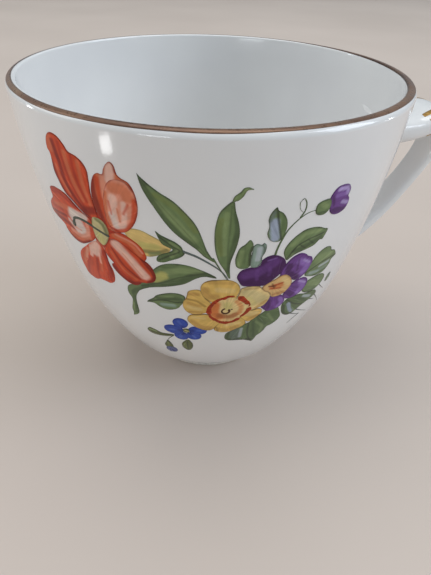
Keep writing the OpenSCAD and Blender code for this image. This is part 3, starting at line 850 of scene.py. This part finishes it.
def spray_leaves():
    long_left = [(-10.4, 5.8), (-10, 7.3), (-8.8, 8.6), (-7.2, 10), (-5.2, 11.4), (-3.6, 13.2),
                 (-2.2, 15.2), (-1.4, 17), (-0.8, 19), (-0.2, 21), (0.6, 22.7), (1.6, 24.3), (-0.5, 22.8),
                 (-2, 21), (-3.6, 19.5), (-5.3, 17.8), (-6.7, 15.8), (-8, 13.4), (-9.2, 11), (-9.9, 9)]
    yield leaf(long_left, None,
               [("leaf_light", 1.3, [(-7.6, 12.2), (-4.8, 15.6), (-2.2, 19)], 0.7),
                ("olive", 1.0, [(-7.8, 10.6), (-4.4, 13.2), (-2, 17)], 0.7)],
               [("leaf_dark", 1.0, [(-9.2, 9.6), (-7.4, 13.6), (-4.6, 17.8), (-2, 20.6)], 0.7),
                ("leaf_dark", 1.4, [(-10.2, 6.6), (-9.2, 8.8)], 0.8),
                ("leaf_ink", 0.22, [(-9.6, 8.6), (-6.6, 13), (-3.6, 17.2), (-0.4, 22)], 0.4)],
               "leaf", 1, (3, 28))
    upright = [(3.2, 11), (2.2, 12), (1.4, 13.3), (0.95, 15.5), (0.8, 17.5), (0.9, 20), (1.2, 22),
               (1.8, 24), (2.8, 26), (3.6, 28), (4, 28), (3.8, 26), (3.8, 24), (4.2, 22), (4.6, 20),
               (4.8, 17.5), (4.5, 15.3), (3.9, 13), (3.6, 11.2)]
    yield leaf(upright, None,
               [("leaf_light", 0.8, [(2.6, 13.4), (2.4, 17.6), (2.6, 22)], 0.75),
                ("olive", 0.9, [(1.7, 14.6), (1.5, 18), (1.9, 22)], 0.7)],
               [("leaf_dark", 0.9, [(3.9, 13.4), (4.3, 17), (3.8, 21), (3.5, 26)], 0.75),
                ("leaf_ink", 0.2, [(3.2, 12), (3.2, 16), (3.1, 21), (3.5, 27)], 0.45)],
               "leaf", 1, (3.8, 34), 0.3)
    tip = [(3.2, 11.2), (3.4, 10.2), (4.2, 9.4), (4.7, 8.7), (5.5, 8.6), (6.2, 9.1), (5.3, 9.2),
           (4.8, 10.2), (4.1, 11)]
    yield leaf(tip, None, [], [("leaf", 0.4, [(3.8, 10.8), (4.7, 9)], 0.8)], "leaf_light", 2)
    tube = [(-14, 18.9), (-13, 18.3), (-11, 18.1), (-9.3, 18.8), (-7.5, 19.8), (-6, 21.2), (-6.6, 22.4),
            (-8, 23.2), (-10, 24), (-11.4, 23.4), (-13, 21)]
    yield Sheet(tube, "straw", (-4, 22), [
        ("lime", 1.4, [(-11, 21.4), (-8.4, 21.4)], 0.7),
        ("moss", 0.8, [(-10.8, 22.8), (-8.4, 22.6), (-6.8, 21.8)], 0.7),
        ("leaf", 1.0, [(-9.6, 23.2), (-8, 22.8)], 0.7),
        ("straw", 0.8, [(-12.6, 19.2), (-9, 19.8)], 0.8)], ("moss", 0.25, 0.5), 1, 0.5)
    calyx = [(-8.4, 17.7), (-7.6, 18.4), (-6.5, 19), (-5.2, 19.7), (-4.3, 20.6), (-4, 21.5), (-3.8, 22.3),
             (-4.6, 23.2), (-6, 24), (-7.5, 24.8), (-8.7, 24.7), (-8.6, 23.7), (-7.6, 22.6), (-6.3, 22),
             (-5.8, 21.4), (-6.6, 21), (-7.5, 20.4), (-8, 19.2)]
    yield leaf(calyx, [(-7.8, 18.8), (-5.8, 20.6), (-4.6, 21.6), (-6.4, 22.9), (-8.2, 24.2)],
               [("leaf_light", 0.7, [(-6, 20), (-4.8, 21.2), (-6, 23)], 0.7)], [], "leaf_mid", 3, None,
               0.3)
    curl = [(1.5, 27.6), (0.5, 26.8), (-1, 25.9), (-3, 25), (-5, 24.7), (-7, 25), (-8.5, 25.8),
            (-9.8, 27.2), (-12, 30), (-14, 32), (-15.7, 33.2), (-16.3, 34.3), (-16.4, 35.8),
            (-15.9, 37.3), (-16.3, 39), (-16.9, 41), (-17, 42.5), (-17.3, 43.8), (-16, 43), (-15.2, 41.8),
            (-15, 40), (-14.9, 38), (-14.6, 36.3), (-14, 35), (-13.3, 34), (-12, 33), (-10.5, 32.2),
            (-8, 31.4), (-6, 30.7), (-4, 29.8), (-2, 28.2), (-0.5, 27.6), (1.5, 28)]
    yield leaf(curl, None,
               [("leaf_light", 1.4, [(-1.5, 26.6), (-4.4, 26.2), (-7.2, 27.2)], 0.7),
                ("lime", 2.0, [(-8, 28.2), (-9.6, 29.4)], 0.85),
                ("leaf_light", 0.5, [(-15.9, 38.8), (-16.2, 41.6)], 0.7)],
               [("leaf_dark", 1.5, [(0.8, 27.4), (-2.4, 27.4), (-5, 29.4), (-8.6, 31), (-12, 32.4)], 0.75),
                ("leaf_mid", 1.0, [(-5.4, 25.2), (-8, 25.9)], 0.6),
                ("leaf_dark", 0.9, [(-12.6, 33), (-14.6, 34.4), (-15.2, 36.4), (-15.3, 39), (-16, 42)],
                 0.7),
                ("leaf_ink", 0.3, [(-0.5, 26.7), (-4.6, 28), (-8.4, 30.2), (-12.6, 32.3)], 0.6)],
               "leaf", 1, (3, 27))
    low_leaf = [(-12.4, 37.1), (-12, 36.4), (-10.8, 35.3), (-10, 34.3), (-8.5, 33.4), (-6.8, 32.8),
                (-5.2, 32.8), (-4.2, 33.5), (-4.4, 35), (-5.2, 36.5), (-5.8, 37.4), (-7, 38.1),
                (-8.3, 38.3), (-9.7, 37.8), (-10.7, 37), (-11.6, 37)]
    yield leaf(low_leaf, [(-11.8, 36.6), (-9, 35.4), (-6.2, 35.5), (-4.8, 35.2)],
               [("grey_green", 1.0, [(-9, 36.8), (-6.6, 36.6)], 0.9),
                ("leaf_light", 0.5, [(-9.4, 34.8), (-6.6, 33.8)], 0.5)],
               [("leaf_dark", 0.8, [(-9.8, 35), (-7, 34.6), (-5, 34.4)], 0.7)], "leaf", 1, (-13, 37))
    bud_leaf = [(10, 12.6), (9.2, 13.6), (8.9, 15), (9.2, 16.5), (9.1, 18), (9.7, 19.4), (10.6, 20),
                (11.6, 19.9), (12.1, 18.8), (12.4, 17.2), (12.1, 15.4), (11.3, 14), (10.4, 13.3)]
    yield leaf(bud_leaf, [(10, 12.8), (10.6, 15.4), (11.3, 18), (11.7, 19.8)],
               [("bluish", 1.6, [(10, 15.6), (10.2, 17), (10.6, 19)], 0.95)],
               [("slate", 0.7, [(9.7, 13.6), (9.3, 15.2)], 0.7),
                ("leaf_mid", 0.7, [(11.2, 14.4), (11.8, 17.6)], 0.7)], "leaf", 1, (12, 21))
    curled = [(6.5, 18.9), (7.1, 19.6), (7.3, 20.8), (7.1, 22.2), (7.4, 23.6), (7.0, 25.4), (5.6, 25.7),
              (4.7, 25.0), (4.4, 23.4), (4.6, 21.8), (5.0, 20.6), (5.8, 19.8)]
    yield leaf(curled, None,
               [("leaf_light", 0.8, [(5.4, 21.4), (5.2, 24.6)], 0.7)],
               [("leaf_ink", 0.5, [(7.0, 20.6), (6.8, 22.4), (7.1, 24.8)], 0.8)], "leaf", 1, (6, 27))
    grey = [(7.2, 20.4), (7.8, 19.9), (8.6, 20.2), (8.9, 19.8), (9.5, 20.5), (9.5, 22), (9.1, 23.2),
            (9.2, 25), (8.2, 25.8), (7.2, 25.2), (7.0, 23.4), (7.1, 21.8)]
    yield leaf(grey, None, [("mist", 0.9, [(8.4, 21), (8.3, 23.6)], 0.95)],
               [("leaf_ink", 0.3, [(8.7, 20.2), (9.2, 21.4), (8.9, 23.4)], 0.6)], "grey_green", 2, (8, 27))


def right_foliage():
    upper = [(13.2, 24), (12.8, 22.6), (13.2, 21), (14.3, 19.5), (15.8, 18.4), (17.3, 18.2), (18.8, 18.5),
             (20.2, 19.2), (21, 19.6), (20.8, 20.9), (20.4, 21.9), (19.8, 21.8), (19, 22.7), (18, 23.1),
             (16.5, 23.5), (15.3, 23.9), (14.5, 24.5), (13.8, 25)]
    yield leaf(upper, [(13.9, 24.4), (15.2, 21.9), (17.4, 20.8), (20.2, 20.2)],
               [("leaf_light", 0.9, [(14.2, 21.4), (16.4, 19.4), (19, 19.4)], 0.7)],
               [("leaf_dark", 1.2, [(15, 23), (17.6, 22), (19.8, 21.2)], 0.75),
                ("leaf_ink", 0.25, [(15.6, 21.6), (17, 22.8)], 0.7),
                ("leaf_ink", 0.25, [(17.2, 20.9), (18.6, 22.2)], 0.7)], "leaf", 1, (12.6, 26))
    double = [(19.4, 28.5), (19.9, 27.5), (20.5, 26), (21.5, 24.9), (22.8, 24.5), (24, 25), (24.6, 26),
              (25.8, 26.6), (26.7, 27.8), (26.9, 28.4), (26, 29.2), (26, 30.2), (25.6, 31.2), (25, 32),
              (24, 32.3), (22.3, 32.2), (20.5, 31.6), (19.3, 30.7)]
    yield leaf(double, [(19.6, 30), (22, 28.9), (24.4, 28.3), (26.6, 28.2)],
               [("leaf_light", 2.2, [(21.6, 27), (24.4, 27.2)], 0.5),
                ("mist", 0.7, [(22.8, 29.6), (25, 29.2)], 0.8),
                ("mist", 0.6, [(20.6, 30.6), (22.8, 31)], 0.75)],
               [("grey_green", 1.2, [(20.4, 31), (24.6, 30.6)], 0.5),
                ("leaf_dark", 0.5, [(21.6, 31.8), (25.2, 31.2)], 0.7)], "leaf", 1, (18.6, 30))
    third = [(20.4, 33.5), (22, 32.6), (24, 32.4), (25.8, 33.2), (26.6, 34.6), (26.3, 36.2), (25, 37.4),
             (23, 37.4), (21.3, 36.8), (20.2, 35.3)]
    yield leaf(third, None, [("leaf_light", 1.6, [(22.4, 34.2), (25, 35.4)], 0.6)],
               [("leaf_dark", 0.5, [(21, 36.6), (24.6, 37)], 0.6)], "leaf", 1, (19.4, 34))
    fourth = [(17, 37), (18.3, 36.8), (20, 36.6), (22, 37.3), (24.3, 37.5), (25.8, 38.2), (26.5, 39.6),
              (25.5, 40.6), (24, 41.2), (22.5, 42), (21, 43.3), (19.5, 43.6), (18, 42.8), (17, 41.5),
              (16.4, 39.8), (16.2, 38.3)]
    yield leaf(fourth, [(17.2, 37.4), (19.8, 39.6), (22.6, 41.2)],
               [("bluish", 0.9, [(18, 38.8), (19, 41), (20, 42.4)], 0.8),
                ("mist", 0.8, [(21.8, 38), (24.2, 39.2)], 0.75)],
               [("leaf_ink", 0.6, [(16.8, 39), (18, 42.2), (20.4, 43.3)], 0.7),
                ("leaf_dark", 0.9, [(20.4, 38), (23.6, 40.6)], 0.6)], "leaf_mid", 1, (16, 36))
    low = [(9.3, 42.5), (10.3, 41), (11.6, 40), (12.5, 39.2), (14, 38.8), (15.5, 39), (16.2, 40.3),
           (16.8, 41.6), (17.2, 43), (16.8, 44.4), (15.7, 45.5), (14.6, 46), (14.3, 47.3), (13.7, 48.5),
           (12.9, 49.5), (12.6, 51), (12.1, 52), (11, 51.3), (9.5, 50.4), (7.5, 50), (5.7, 49.8),
           (4.6, 49), (4.3, 47.6), (4.6, 46.2), (5.5, 45.3), (7, 44), (8.3, 43)]
    yield leaf(low, [(9.4, 43), (9.6, 46), (10.4, 49), (11.8, 51.6)],
               [("leaf_light", 0.7, [(11, 42.6), (13, 45), (13.2, 47.6)], 0.5),
                ("leaf_light", 0.6, [(13.4, 40.6), (15.4, 43.6)], 0.5),
                ("slate", 2.6, [(6.6, 45.6), (7, 48.4)], 0.6),
                ("mist", 0.8, [(8, 44.8), (8.1, 48.2)], 0.75)],
               [("leaf_ink", 0.6, [(5.2, 46), (5.2, 48.8), (8, 49.6), (11, 50.6)], 0.7),
                ("leaf_dark", 0.7, [(10.4, 42.4), (11, 46), (12, 49.6)], 0.7),
                ("leaf_dark", 0.7, [(11.2, 40.8), (13.8, 44.6)], 0.6),
                ("leaf_ink", 0.8, [(10, 50), (11.8, 50.8)], 0.6)], "leaf_mid", 1, (9.2, 38))


def stems():
    yield stem([(-4.2, 21.6), (-2, 22.6), (0, 24), (1.8, 25.6), (3, 27.2), (3.8, 28.8)], 0.6, 2, "slate")
    yield stem([(0.8, 23), (2, 25.5), (3.5, 28.6)], 0.45, 2)
    yield stem([(11.3, 23.6), (11.5, 21.5), (12, 19.5), (12.7, 17.6), (14, 15.9), (15.5, 14.8),
                (17.2, 14.5)], 0.55, 1)
    yield stem([(14.3, 15.5), (14.9, 14), (14.8, 12.6), (14.2, 11.7), (13.7, 12.3), (13.9, 13.6),
                (14.5, 14.4)], 0.42, 1)
    for line in ([(25.2, 35.8), (27.3, 37.8), (29.5, 39.8)], [(25.6, 39.2), (28, 41.8), (31.5, 45.5)],
                 [(24.6, 40.6), (27.5, 42.2)], [(21, 42.2), (23.5, 44), (27.5, 46.6)],
                 [(20, 43.3), (22.5, 44.9), (24, 45.7)], [(24, 45.6), (22.8, 46.6), (21.4, 48.2)]):
        yield stem(line, 0.45, 0, "slate")
    yield Sheet(blob(28.5, 35.6, 1.5, 3), "slate", (28, 38), [("leaf", 0.6, [(28.2, 34.8), (28.6, 36.8)])],
                ("leaf_dark", 0.3, 0.5), 0)
    yield stem([(-8, 48.5), (-9.2, 50), (-10.2, 51.8), (-10.8, 54)], 0.4, 1, "moss")
    bract = [(-10.2, 51.6), (-9.3, 53.4), (-9.2, 55.6), (-10, 56.8), (-11.3, 56.4), (-11.8, 54.8),
             (-11, 53)]
    yield leaf(bract, None, [("olive", 0.6, [(-10.4, 53), (-10.5, 56)], 0.7)], [], "moss", 1)
    right_bud = [(-4.6, 49.6), (-6.2, 51.6), (-6.5, 53.5), (-6, 55), (-5, 55.8), (-4, 55), (-3.4, 53),
                 (-3.6, 51)]
    yield leaf(right_bud, [(-4.8, 50.6), (-5, 54.8)],
               [("olive", 0.7, [(-5.6, 52), (-5.4, 54.4)], 0.7)], [], "moss", 1, None, 0.25)
    side = [(-15, 48.3), (-14, 47.2), (-12.5, 47.6), (-11, 48.3), (-8, 48), (-8.5, 48.9), (-10, 49.6),
            (-12, 50), (-14, 50), (-15, 49)]
    yield leaf(side, [(-8.4, 48.4), (-11, 48.9), (-14, 49)],
               [("leaf_light", 0.6, [(-14.2, 48), (-12.6, 48.2)])], [], "moss", 1, (-6, 48), 0.25)


def primrose_petals():
    rim = ("umber", 0.22, 0.75)
    root = (3.8, 37.5)

    def petal(outline, strokes, ground="primrose", layer=3):
        return Sheet(outline, ground, root, strokes, rim, layer, 0.4)

    yield petal([(-1.3, 31.3), (-1.2, 30), (-0.6, 29), (0.5, 28.4), (2, 28.3), (3.5, 28.3), (4.9, 28.9),
                 (5.8, 30), (6.1, 31.2), (5.9, 32.5), (5, 35), (2.5, 36), (0.5, 34.5), (-0.8, 33)],
                [("ochre", 1.6, [(-0.4, 31), (0.2, 32.8), (1.6, 33)], 0.8),
                 ("ochre", 0.9, [(0.4, 29), (4.6, 29.2)], 0.6),
                 ("butter", 1.4, [(2, 31), (4.6, 31.4)], 0.5)])
    yield petal([(-4.2, 34), (-3.9, 33), (-3.6, 31.8), (-2.5, 31.2), (-1.3, 31.3), (-0.6, 33), (0.8, 35),
                 (1.6, 37), (-0.4, 38.3), (-2, 38.8), (-3.3, 38.7), (-4.3, 37.9), (-4.8, 36.5),
                 (-4.7, 35)],
                [("ochre", 1.0, [(-3.4, 32.4), (-1.8, 32.4)], 0.9),
                 ("tan", 0.6, [(-3.8, 34), (-2, 34.4), (-0.4, 36)], 0.8),
                 ("ochre", 0.8, [(-3.6, 35.2), (-1.4, 36)], 0.7),
                 ("butter", 1.0, [(-3.6, 36.4), (-1.4, 37)], 0.6),
                 ("ochre", 0.8, [(-3.4, 38), (-1, 38)], 0.8)])
    yield petal([(-0.3, 38.6), (-2, 38.8), (-3.3, 39), (-4, 40), (-4.1, 41.2), (-3.4, 42.4), (-2.3, 43.6),
                 (-0.8, 44.5), (0.6, 44.7), (1.6, 44), (2.1, 43), (3.4, 41), (2.4, 39)],
                [("ochre", 1.4, [(-3, 41.4), (-1.4, 43.2), (0.8, 43.6)], 0.8),
                 ("tan", 0.6, [(-1.6, 44), (0.8, 44.3)], 0.6),
                 ("butter", 0.9, [(-2.8, 39.8), (-0.6, 40)], 0.5)])
    yield petal([(2.1, 42.6), (1.6, 44.2), (2.2, 45), (3.5, 45.5), (5, 45.4), (6.3, 44.7), (7.6, 43.8),
                 (8.6, 42.8), (8.5, 41.9), (7.8, 40.6), (5.6, 39.6), (3.4, 40.6)],
                [("ochre", 1.3, [(2.6, 44), (4.6, 44.6), (6.8, 43.4)], 0.8),
                 ("tan", 0.5, [(2.2, 43.4), (2.4, 44.8)]),
                 ("butter", 1.0, [(4.2, 42.6), (7, 42)], 0.6)], "primrose", 4)
    yield petal([(7.2, 40.3), (8, 41.3), (9, 42.1), (10, 41.6), (11, 40.5), (11.7, 39.5), (11.5, 38.3),
                 (10.5, 37.8), (9.3, 38), (8, 37.4), (6, 38.6)],
                [("butter", 1.6, [(8.4, 39), (10.2, 39.2)], 0.7),
                 ("ochre", 0.8, [(8.8, 41.2), (10.8, 40)], 0.8)])
    yield petal([(6, 32), (6.2, 31), (7.2, 30.6), (8.5, 30.5), (9.8, 30.9), (10.7, 31.9), (11.8, 32.8),
                 (12.5, 34.2), (12.3, 35.7), (11.6, 37), (10.5, 37.6), (9.3, 38), (7.2, 38), (5.4, 35.6)],
                [("cream", 2.4, [(7.6, 32), (10.6, 34.6)], 0.6),
                 ("lime", 1.2, [(8, 34), (9.4, 36)], 0.35),
                 ("ochre", 0.8, [(11.8, 35.6), (10, 37.3)], 0.7),
                 ("tan", 0.6, [(7, 31.2), (9.4, 31.2)], 0.5)],
                "butter", 4)
    eye = [(0.6, 36), (1.5, 34.4), (3.2, 33.4), (5, 33.4), (6.6, 34.4), (7.8, 36.2), (7.9, 38.2), (7, 40),
           (5.2, 41.1), (3, 41), (1.3, 39.8), (0.5, 38)]
    yield Sheet(eye, "butter", root, [
        ("orange", 2.0, [(1.6, 35.4), (1.5, 38), (2.6, 39.6)], 0.9),
        ("orange", 1.0, [(5.8, 34.6), (6.8, 36.4), (6.6, 38.4)], 0.6),
        ("sienna", 1.5, [(2.6, 38.9), (4.6, 39.6), (5.8, 38.8)], 0.85),
        ("lime", 1.6, [(4, 35.4), (4.2, 36.4)], 0.5),
        ("apricot", 1.0, [(2.8, 40.6), (5.4, 40.4)], 0.6)], None, 5, 0.4)
    for width, arc in ((1.0, [(1.3, 34.9), (2.2, 33.9), (3.3, 33.4)]),
                       (0.9, [(3.2, 33.6), (4, 33), (5, 33)]),
                       (1.5, [(6.4, 33.6), (7.3, 34.6), (8, 35.6)]),
                       (0.7, [(7.9, 34.9), (8.5, 36), (8.4, 36.6)]),
                       (1.2, [(8.6, 37.3), (8, 38.6), (7.1, 39.6)]),
                       (1.1, [(6.6, 40.4), (5.4, 41.3), (4.1, 41.6)]),
                       (1.2, [(4.3, 41.6), (2.8, 41.2), (1.6, 40.2)]),
                       (1.0, [(1.7, 40.4), (0.7, 39.2), (0.4, 37.8)]),
                       (1.3, [(0.4, 38), (0.5, 36.4), (1.1, 35.2)])):
        yield Sheet(ribbon(arc, width, 0.6), "rust", root, [("dark_rust", 0.5, arc, 0.4)], None, 6, 1.3)
    hook = [(4.4, 37.1), (4.5, 37.7), (4.1, 38.2), (3.4, 38.2), (3, 37.7), (3.1, 37.1), (3.5, 36.7)]
    yield Sheet(ribbon(hook, 0.65, 0.8), "umber", root, [], None, 7, 0.3)
    yield Sheet(blob(4.95, 37, 0.6, 0.5), "umber", root, [], None, 7, 0.3)


def violet_petals():
    rim = ("deep_violet", 0.4, 0.6)
    heart = (13, 31)

    def petal(outline, strokes, ground="violet", layer=2):
        return Sheet(outline, ground, heart, strokes, rim, layer, 1.0)

    yield petal([(5.2, 27), (5.8, 26), (7, 25.5), (8.3, 25.2), (9, 24), (10, 23.2), (11.2, 23),
                 (12.5, 23.6), (13.5, 24.6), (14, 26), (13.5, 28), (12.5, 29.3), (11.5, 30.4),
                 (10.5, 30.9), (9, 30.8), (7.5, 30.6), (6.2, 30.2), (5.5, 29), (5.1, 28)],
                [("violet", 2.2, [(6.6, 27.4), (9, 26.8), (11.6, 24.9)], 0.55),
                 ("violet", 0.7, [(8.6, 26.4), (8.8, 28.8)], 0.5),
                 ("violet", 0.7, [(11, 26), (11, 28)], 0.45),
                 ("lilac", 0.3, [(10.2, 24.2), (11.8, 23.8)], 0.5)],
                "deep_violet", 2)
    yield petal([(14, 25.8), (15, 24.5), (16.5, 23.9), (17.8, 24.5), (18.5, 25.2), (19.5, 25.8), (20, 27),
                 (19.8, 28.5), (19.3, 30), (18.3, 31), (17.2, 31.3), (16, 30.6), (14.8, 29.6), (13.4, 29),
                 (13.5, 27)],
                [("lilac", 1.6, [(17, 26), (18.8, 27.4), (18.4, 29.4)], 0.75),
                 ("mauve", 0.6, [(17.8, 26), (19.2, 27)], 0.6),
                 ("deep_violet", 1.4, [(14.8, 26.6), (15.2, 28.6), (17, 30.2)], 0.85),
                 ("deep_violet", 0.5, [(16.6, 25.6), (16.8, 28.4)], 0.6)], "violet", 3)
    yield petal([(16.4, 32.4), (17.2, 31.5), (18.3, 31.2), (19.6, 31.3), (20.7, 32.3), (21, 33.8),
                 (20.6, 35.3), (19.5, 36.4), (18, 36.9), (16.7, 36.7), (15.6, 35.8), (15.6, 34)],
                [("lilac", 1.4, [(19, 32.4), (20, 33.8), (19.2, 35.4)], 0.8),
                 ("mauve", 0.5, [(18.4, 31.9), (20.2, 33)], 0.7),
                 ("deep_violet", 1.2, [(16.4, 34.4), (17.6, 35.6)], 0.7)], "violet", 2)
    yield petal([(12.4, 34.6), (14, 34.4), (15.3, 35), (16.2, 36), (16.4, 37.5), (15.7, 38.8),
                 (14.3, 39.4), (12.8, 39.4), (11.8, 38.5), (11.1, 37.5), (11.8, 36.3)],
                [("lilac", 0.9, [(15, 35.8), (15.7, 37.2), (15, 38.4)], 0.75),
                 ("deep_violet", 1.2, [(12.4, 36), (12.6, 38.2)], 0.7)], "violet", 2)
    front = [(10.3, 31.3), (11.2, 30.3), (12.5, 29.6), (13.5, 28.8), (14.5, 28.7), (15.6, 29.5),
             (16.4, 30.8), (16.6, 32.2), (16, 33.6), (15, 34.6), (13.7, 34.9), (12.7, 34.6), (12, 33.2),
             (10.8, 32.5)]
    yield Sheet(front, "apricot", (12.4, 31.4), [
        ("orange", 1.5, [(12.6, 31.6), (14, 31.6)], 0.7), ("sienna", 0.8, [(13.2, 34), (15, 33.8)], 0.5),
        ("butter", 1.2, [(14.4, 29.8), (15.7, 31.4)], 0.7),
        ("rust", 0.45, [(11.8, 31.4), (14.4, 30.9)], 0.85),
        ("rust", 0.4, [(12, 32), (14.2, 32.4)], 0.8), ("umber", 0.35, [(11.6, 31.2), (13, 31.5)], 0.85),
        ("umber", 0.3, [(12.2, 30.7), (12.8, 32)], 0.8)],
        ("bronze", 0.3, 0.7), 5, 0.6)
    bud = [(19.2, 12.5), (20, 11), (21.3, 10.6), (22.7, 10.9), (23.4, 12), (23.3, 13.2), (23.7, 13.8),
           (23.9, 14.8), (23.5, 16.1), (22.3, 16.7), (21, 16.6), (20, 15.8), (19.6, 14.6), (19.4, 13.4)]
    yield Sheet(bud, "violet", (19, 14), [
        ("mauve", 0.9, [(20.8, 11.4), (22.4, 11.4), (22.9, 12.6)], 0.85),
        ("lilac", 0.8, [(20.6, 12.6), (22.4, 12.6)], 0.6),
        ("mauve", 0.7, [(22.2, 14.2), (23.4, 14.6)], 0.8),
        ("deep_violet", 1.1, [(20.6, 15.6), (23, 15.9)], 0.7),
        ("deep_violet", 0.5, [(19.8, 12.6), (20.4, 14.4)], 0.7)], rim, 2, 0.8)
    cup = [(16.8, 14.3), (17, 13.3), (18, 12.8), (19.3, 12.8), (19.8, 14), (19.6, 15.2), (18.8, 15.9),
           (17.7, 15.8), (17, 15.2)]
    yield leaf(cup, None, [("leaf_light", 0.9, [(18, 13.6), (18.8, 14.2)], 0.7)],
               [("leaf_dark", 0.6, [(17.6, 15.3), (19, 15.3)], 0.7)], "leaf", 3)


def forget_me_not():
    centre = (-4.6, 45.4)
    rim = ("deep_blue", 0.35, 0.7)
    for u, v, across, tall in ((-5.8, 42.7, 3.6, 3.9), (-7.6, 45.6, 4.8, 3.7), (-6.0, 48.0, 3.7, 3.9),
                               (-3.0, 47.5, 3.8, 3.6), (-2.0, 45.0, 4.3, 3.4)):
        out = np.array([u, v]) + 0.25 * (np.array([u, v]) - centre)
        yield Sheet(blob(u, v, across, tall), "blue", centre, [
            ("deep_blue", 1.2, [centre, (u * 0.5 + centre[0] * 0.5, v * 0.5 + centre[1] * 0.5)], 0.7),
            ("sky", 0.7, [(u, v), tuple(out)], 0.6)], rim, 2, 1.0)
    yield Sheet(blob(*centre, 1.7), "moss", centre, [("cream", 0.5, [(-4.9, 45.2), (-4.3, 45.5)], 0.7)],
                ("ink", 0.25, 0.5), 3, 0.4)
    bud = [(-10.3, 55.3), (-9, 55.5), (-8.3, 56.8), (-8.8, 58.2), (-10, 59), (-11.4, 58.8), (-12, 57.6),
           (-11.6, 56.2)]
    yield Sheet(bud, "dusk", (-10.4, 54), [("deep_blue", 1.0, [(-10.6, 57.4), (-9.6, 57.6)], 0.7)],
                ("deep_blue", 0.4, 0.5), 2, 0.8)


# ---- camera, light and floor -------------------------------------------------------------


def make_camera():
    """Hand-held view from above, the handle a little behind the cup's right-hand side."""
    out, up = 106.2, 93.8
    yaw, pitch, roll = math.radians(1.22), math.radians(36.8), math.radians(2.15)
    fwd = Vector((math.sin(yaw) * math.cos(pitch), math.cos(yaw) * math.cos(pitch), -math.sin(pitch)))
    right = Vector((math.cos(yaw), -math.sin(yaw), 0))
    top = right.cross(fwd)
    c, s = math.cos(roll), math.sin(roll)
    right, top = c * right + s * top, c * top - s * right
    axes = Matrix((right, top, -fwd)).transposed()
    data = bpy.data.cameras.new("camera")
    data.sensor_width = 36
    data.lens = 29.43
    data.clip_start = 0.005
    cam = bpy.data.objects.new("camera", data)
    cam.matrix_world = (CAMERA_TURN @ axes).to_4x4()
    cam.location = CAMERA_TURN @ Vector((0, -out * MM, up * MM))
    bpy.context.collection.objects.link(cam)
    bpy.context.scene.camera = cam


def area(name, where, aim, size, power, colour=(1, 1, 1)):
    """Soft box; where and aim are in metres in the camera's own turn of the frame."""
    data = bpy.data.lights.new(name, "AREA")
    data.shape = "RECTANGLE"
    data.size, data.size_y = size
    data.energy = power
    data.color = colour
    ob = bpy.data.objects.new(name, data)
    ob.visible_camera = False
    where, aim = CAMERA_TURN @ Vector(where), CAMERA_TURN @ Vector(aim)
    ob.location = where
    ob.rotation_euler = (where - aim).to_track_quat("Z", "Y").to_euler()
    bpy.context.collection.objects.link(ob)


def make_studio():
    bpy.ops.mesh.primitive_plane_add(size=8)
    floor = bpy.context.object
    floor.name = "floor"
    m = Nodes("floor_paper")
    place = m.add("TexCoord").outputs["Object"]
    m.link(m.ramp(m.noise(place, 6, 2), (0.3, shade(198, 184, 173)),
                  (0.7, shade(206, 192, 181))), m.bsdf.inputs["Base Color"])
    m.bsdf.inputs["Roughness"].default_value = 0.7
    floor.data.materials.append(m.mat)
    world = bpy.data.worlds.new("studio")
    world.use_nodes = True
    world.node_tree.nodes["Background"].inputs["Color"].default_value = (0.82, 0.92, 1.0, 1)
    world.node_tree.nodes["Background"].inputs["Strength"].default_value = 0.4
    bpy.context.scene.world = world
    bpy.context.scene.view_settings.view_transform = "Standard"
    area("top", (0.0, 0.3, 1.4), (0, 0, 0.05), (1.4, 1.0), 10, (1.0, 0.99, 0.97))
    area("left", (-1.2, 0.1, 0.8), (0, 0, 0.04), (0.8, 0.9), 3.8, (1.0, 0.98, 0.96))
    area("right", (1.3, -0.2, 0.8), (0, 0, 0.04), (0.8, 0.9), 10, (0.78, 0.87, 1.0))
    area("window_front", (-0.46, -0.88, 0.07), (0, 0, 0.07), (0.3, 0.12), 0.8, (0.9, 0.95, 1.0))
    area("window_left", (-0.96, 0.26, 0.03), (0, 0, 0.06), (0.08, 0.2), 0.6, (0.9, 0.95, 1.0))
    area("window_right", (0.97, 0.25, 0.03), (0, 0, 0.06), (0.08, 0.06), 0.25, (0.9, 0.95, 1.0))
    area("glint", (-0.1, -0.085, 0.018), (-0.016, -0.037, 0.064), (0.013, 0.009), 0.0028)


make_camera()
make_studio()
white = glaze_material("white_glaze", (236, 235, 233), (229, 228, 227))
dress(make_bowl(), white, "white_glaze", "bowl")
dress(make_foot(), white, "white_glaze", "foot_ring")
dress(make_standing_edge(), biscuit_material(), "biscuit", "unglazed_standing_edge")
dress(make_lip_line(), lip_material(), "lip_colour", "rim_band")
dress(make_handle(), white, "white_glaze", "handle", "upper_handle_joint", "lower_handle_joint")
dress(make_gold_strokes(), gold_material(), "gilding", "handle_gilding")

enamel = enamel_material("overglaze_enamel", 1.0, 0.12)
painting("spray_leaves", enamel, "green_enamel", "leaf_enamel",
         [*stems(), *spray_leaves(), *right_foliage()])
painting("lily", enamel, "orange_enamel", "lily_enamel", lily_petals())
painting("primrose", enamel, "yellow_enamel", "primrose_enamel", primrose_petals())
painting("violets", enamel, "purple_enamel", "violet_enamel", violet_petals())
painting("forget_me_not", enamel, "blue_enamel", "forget_me_not_enamel", forget_me_not())
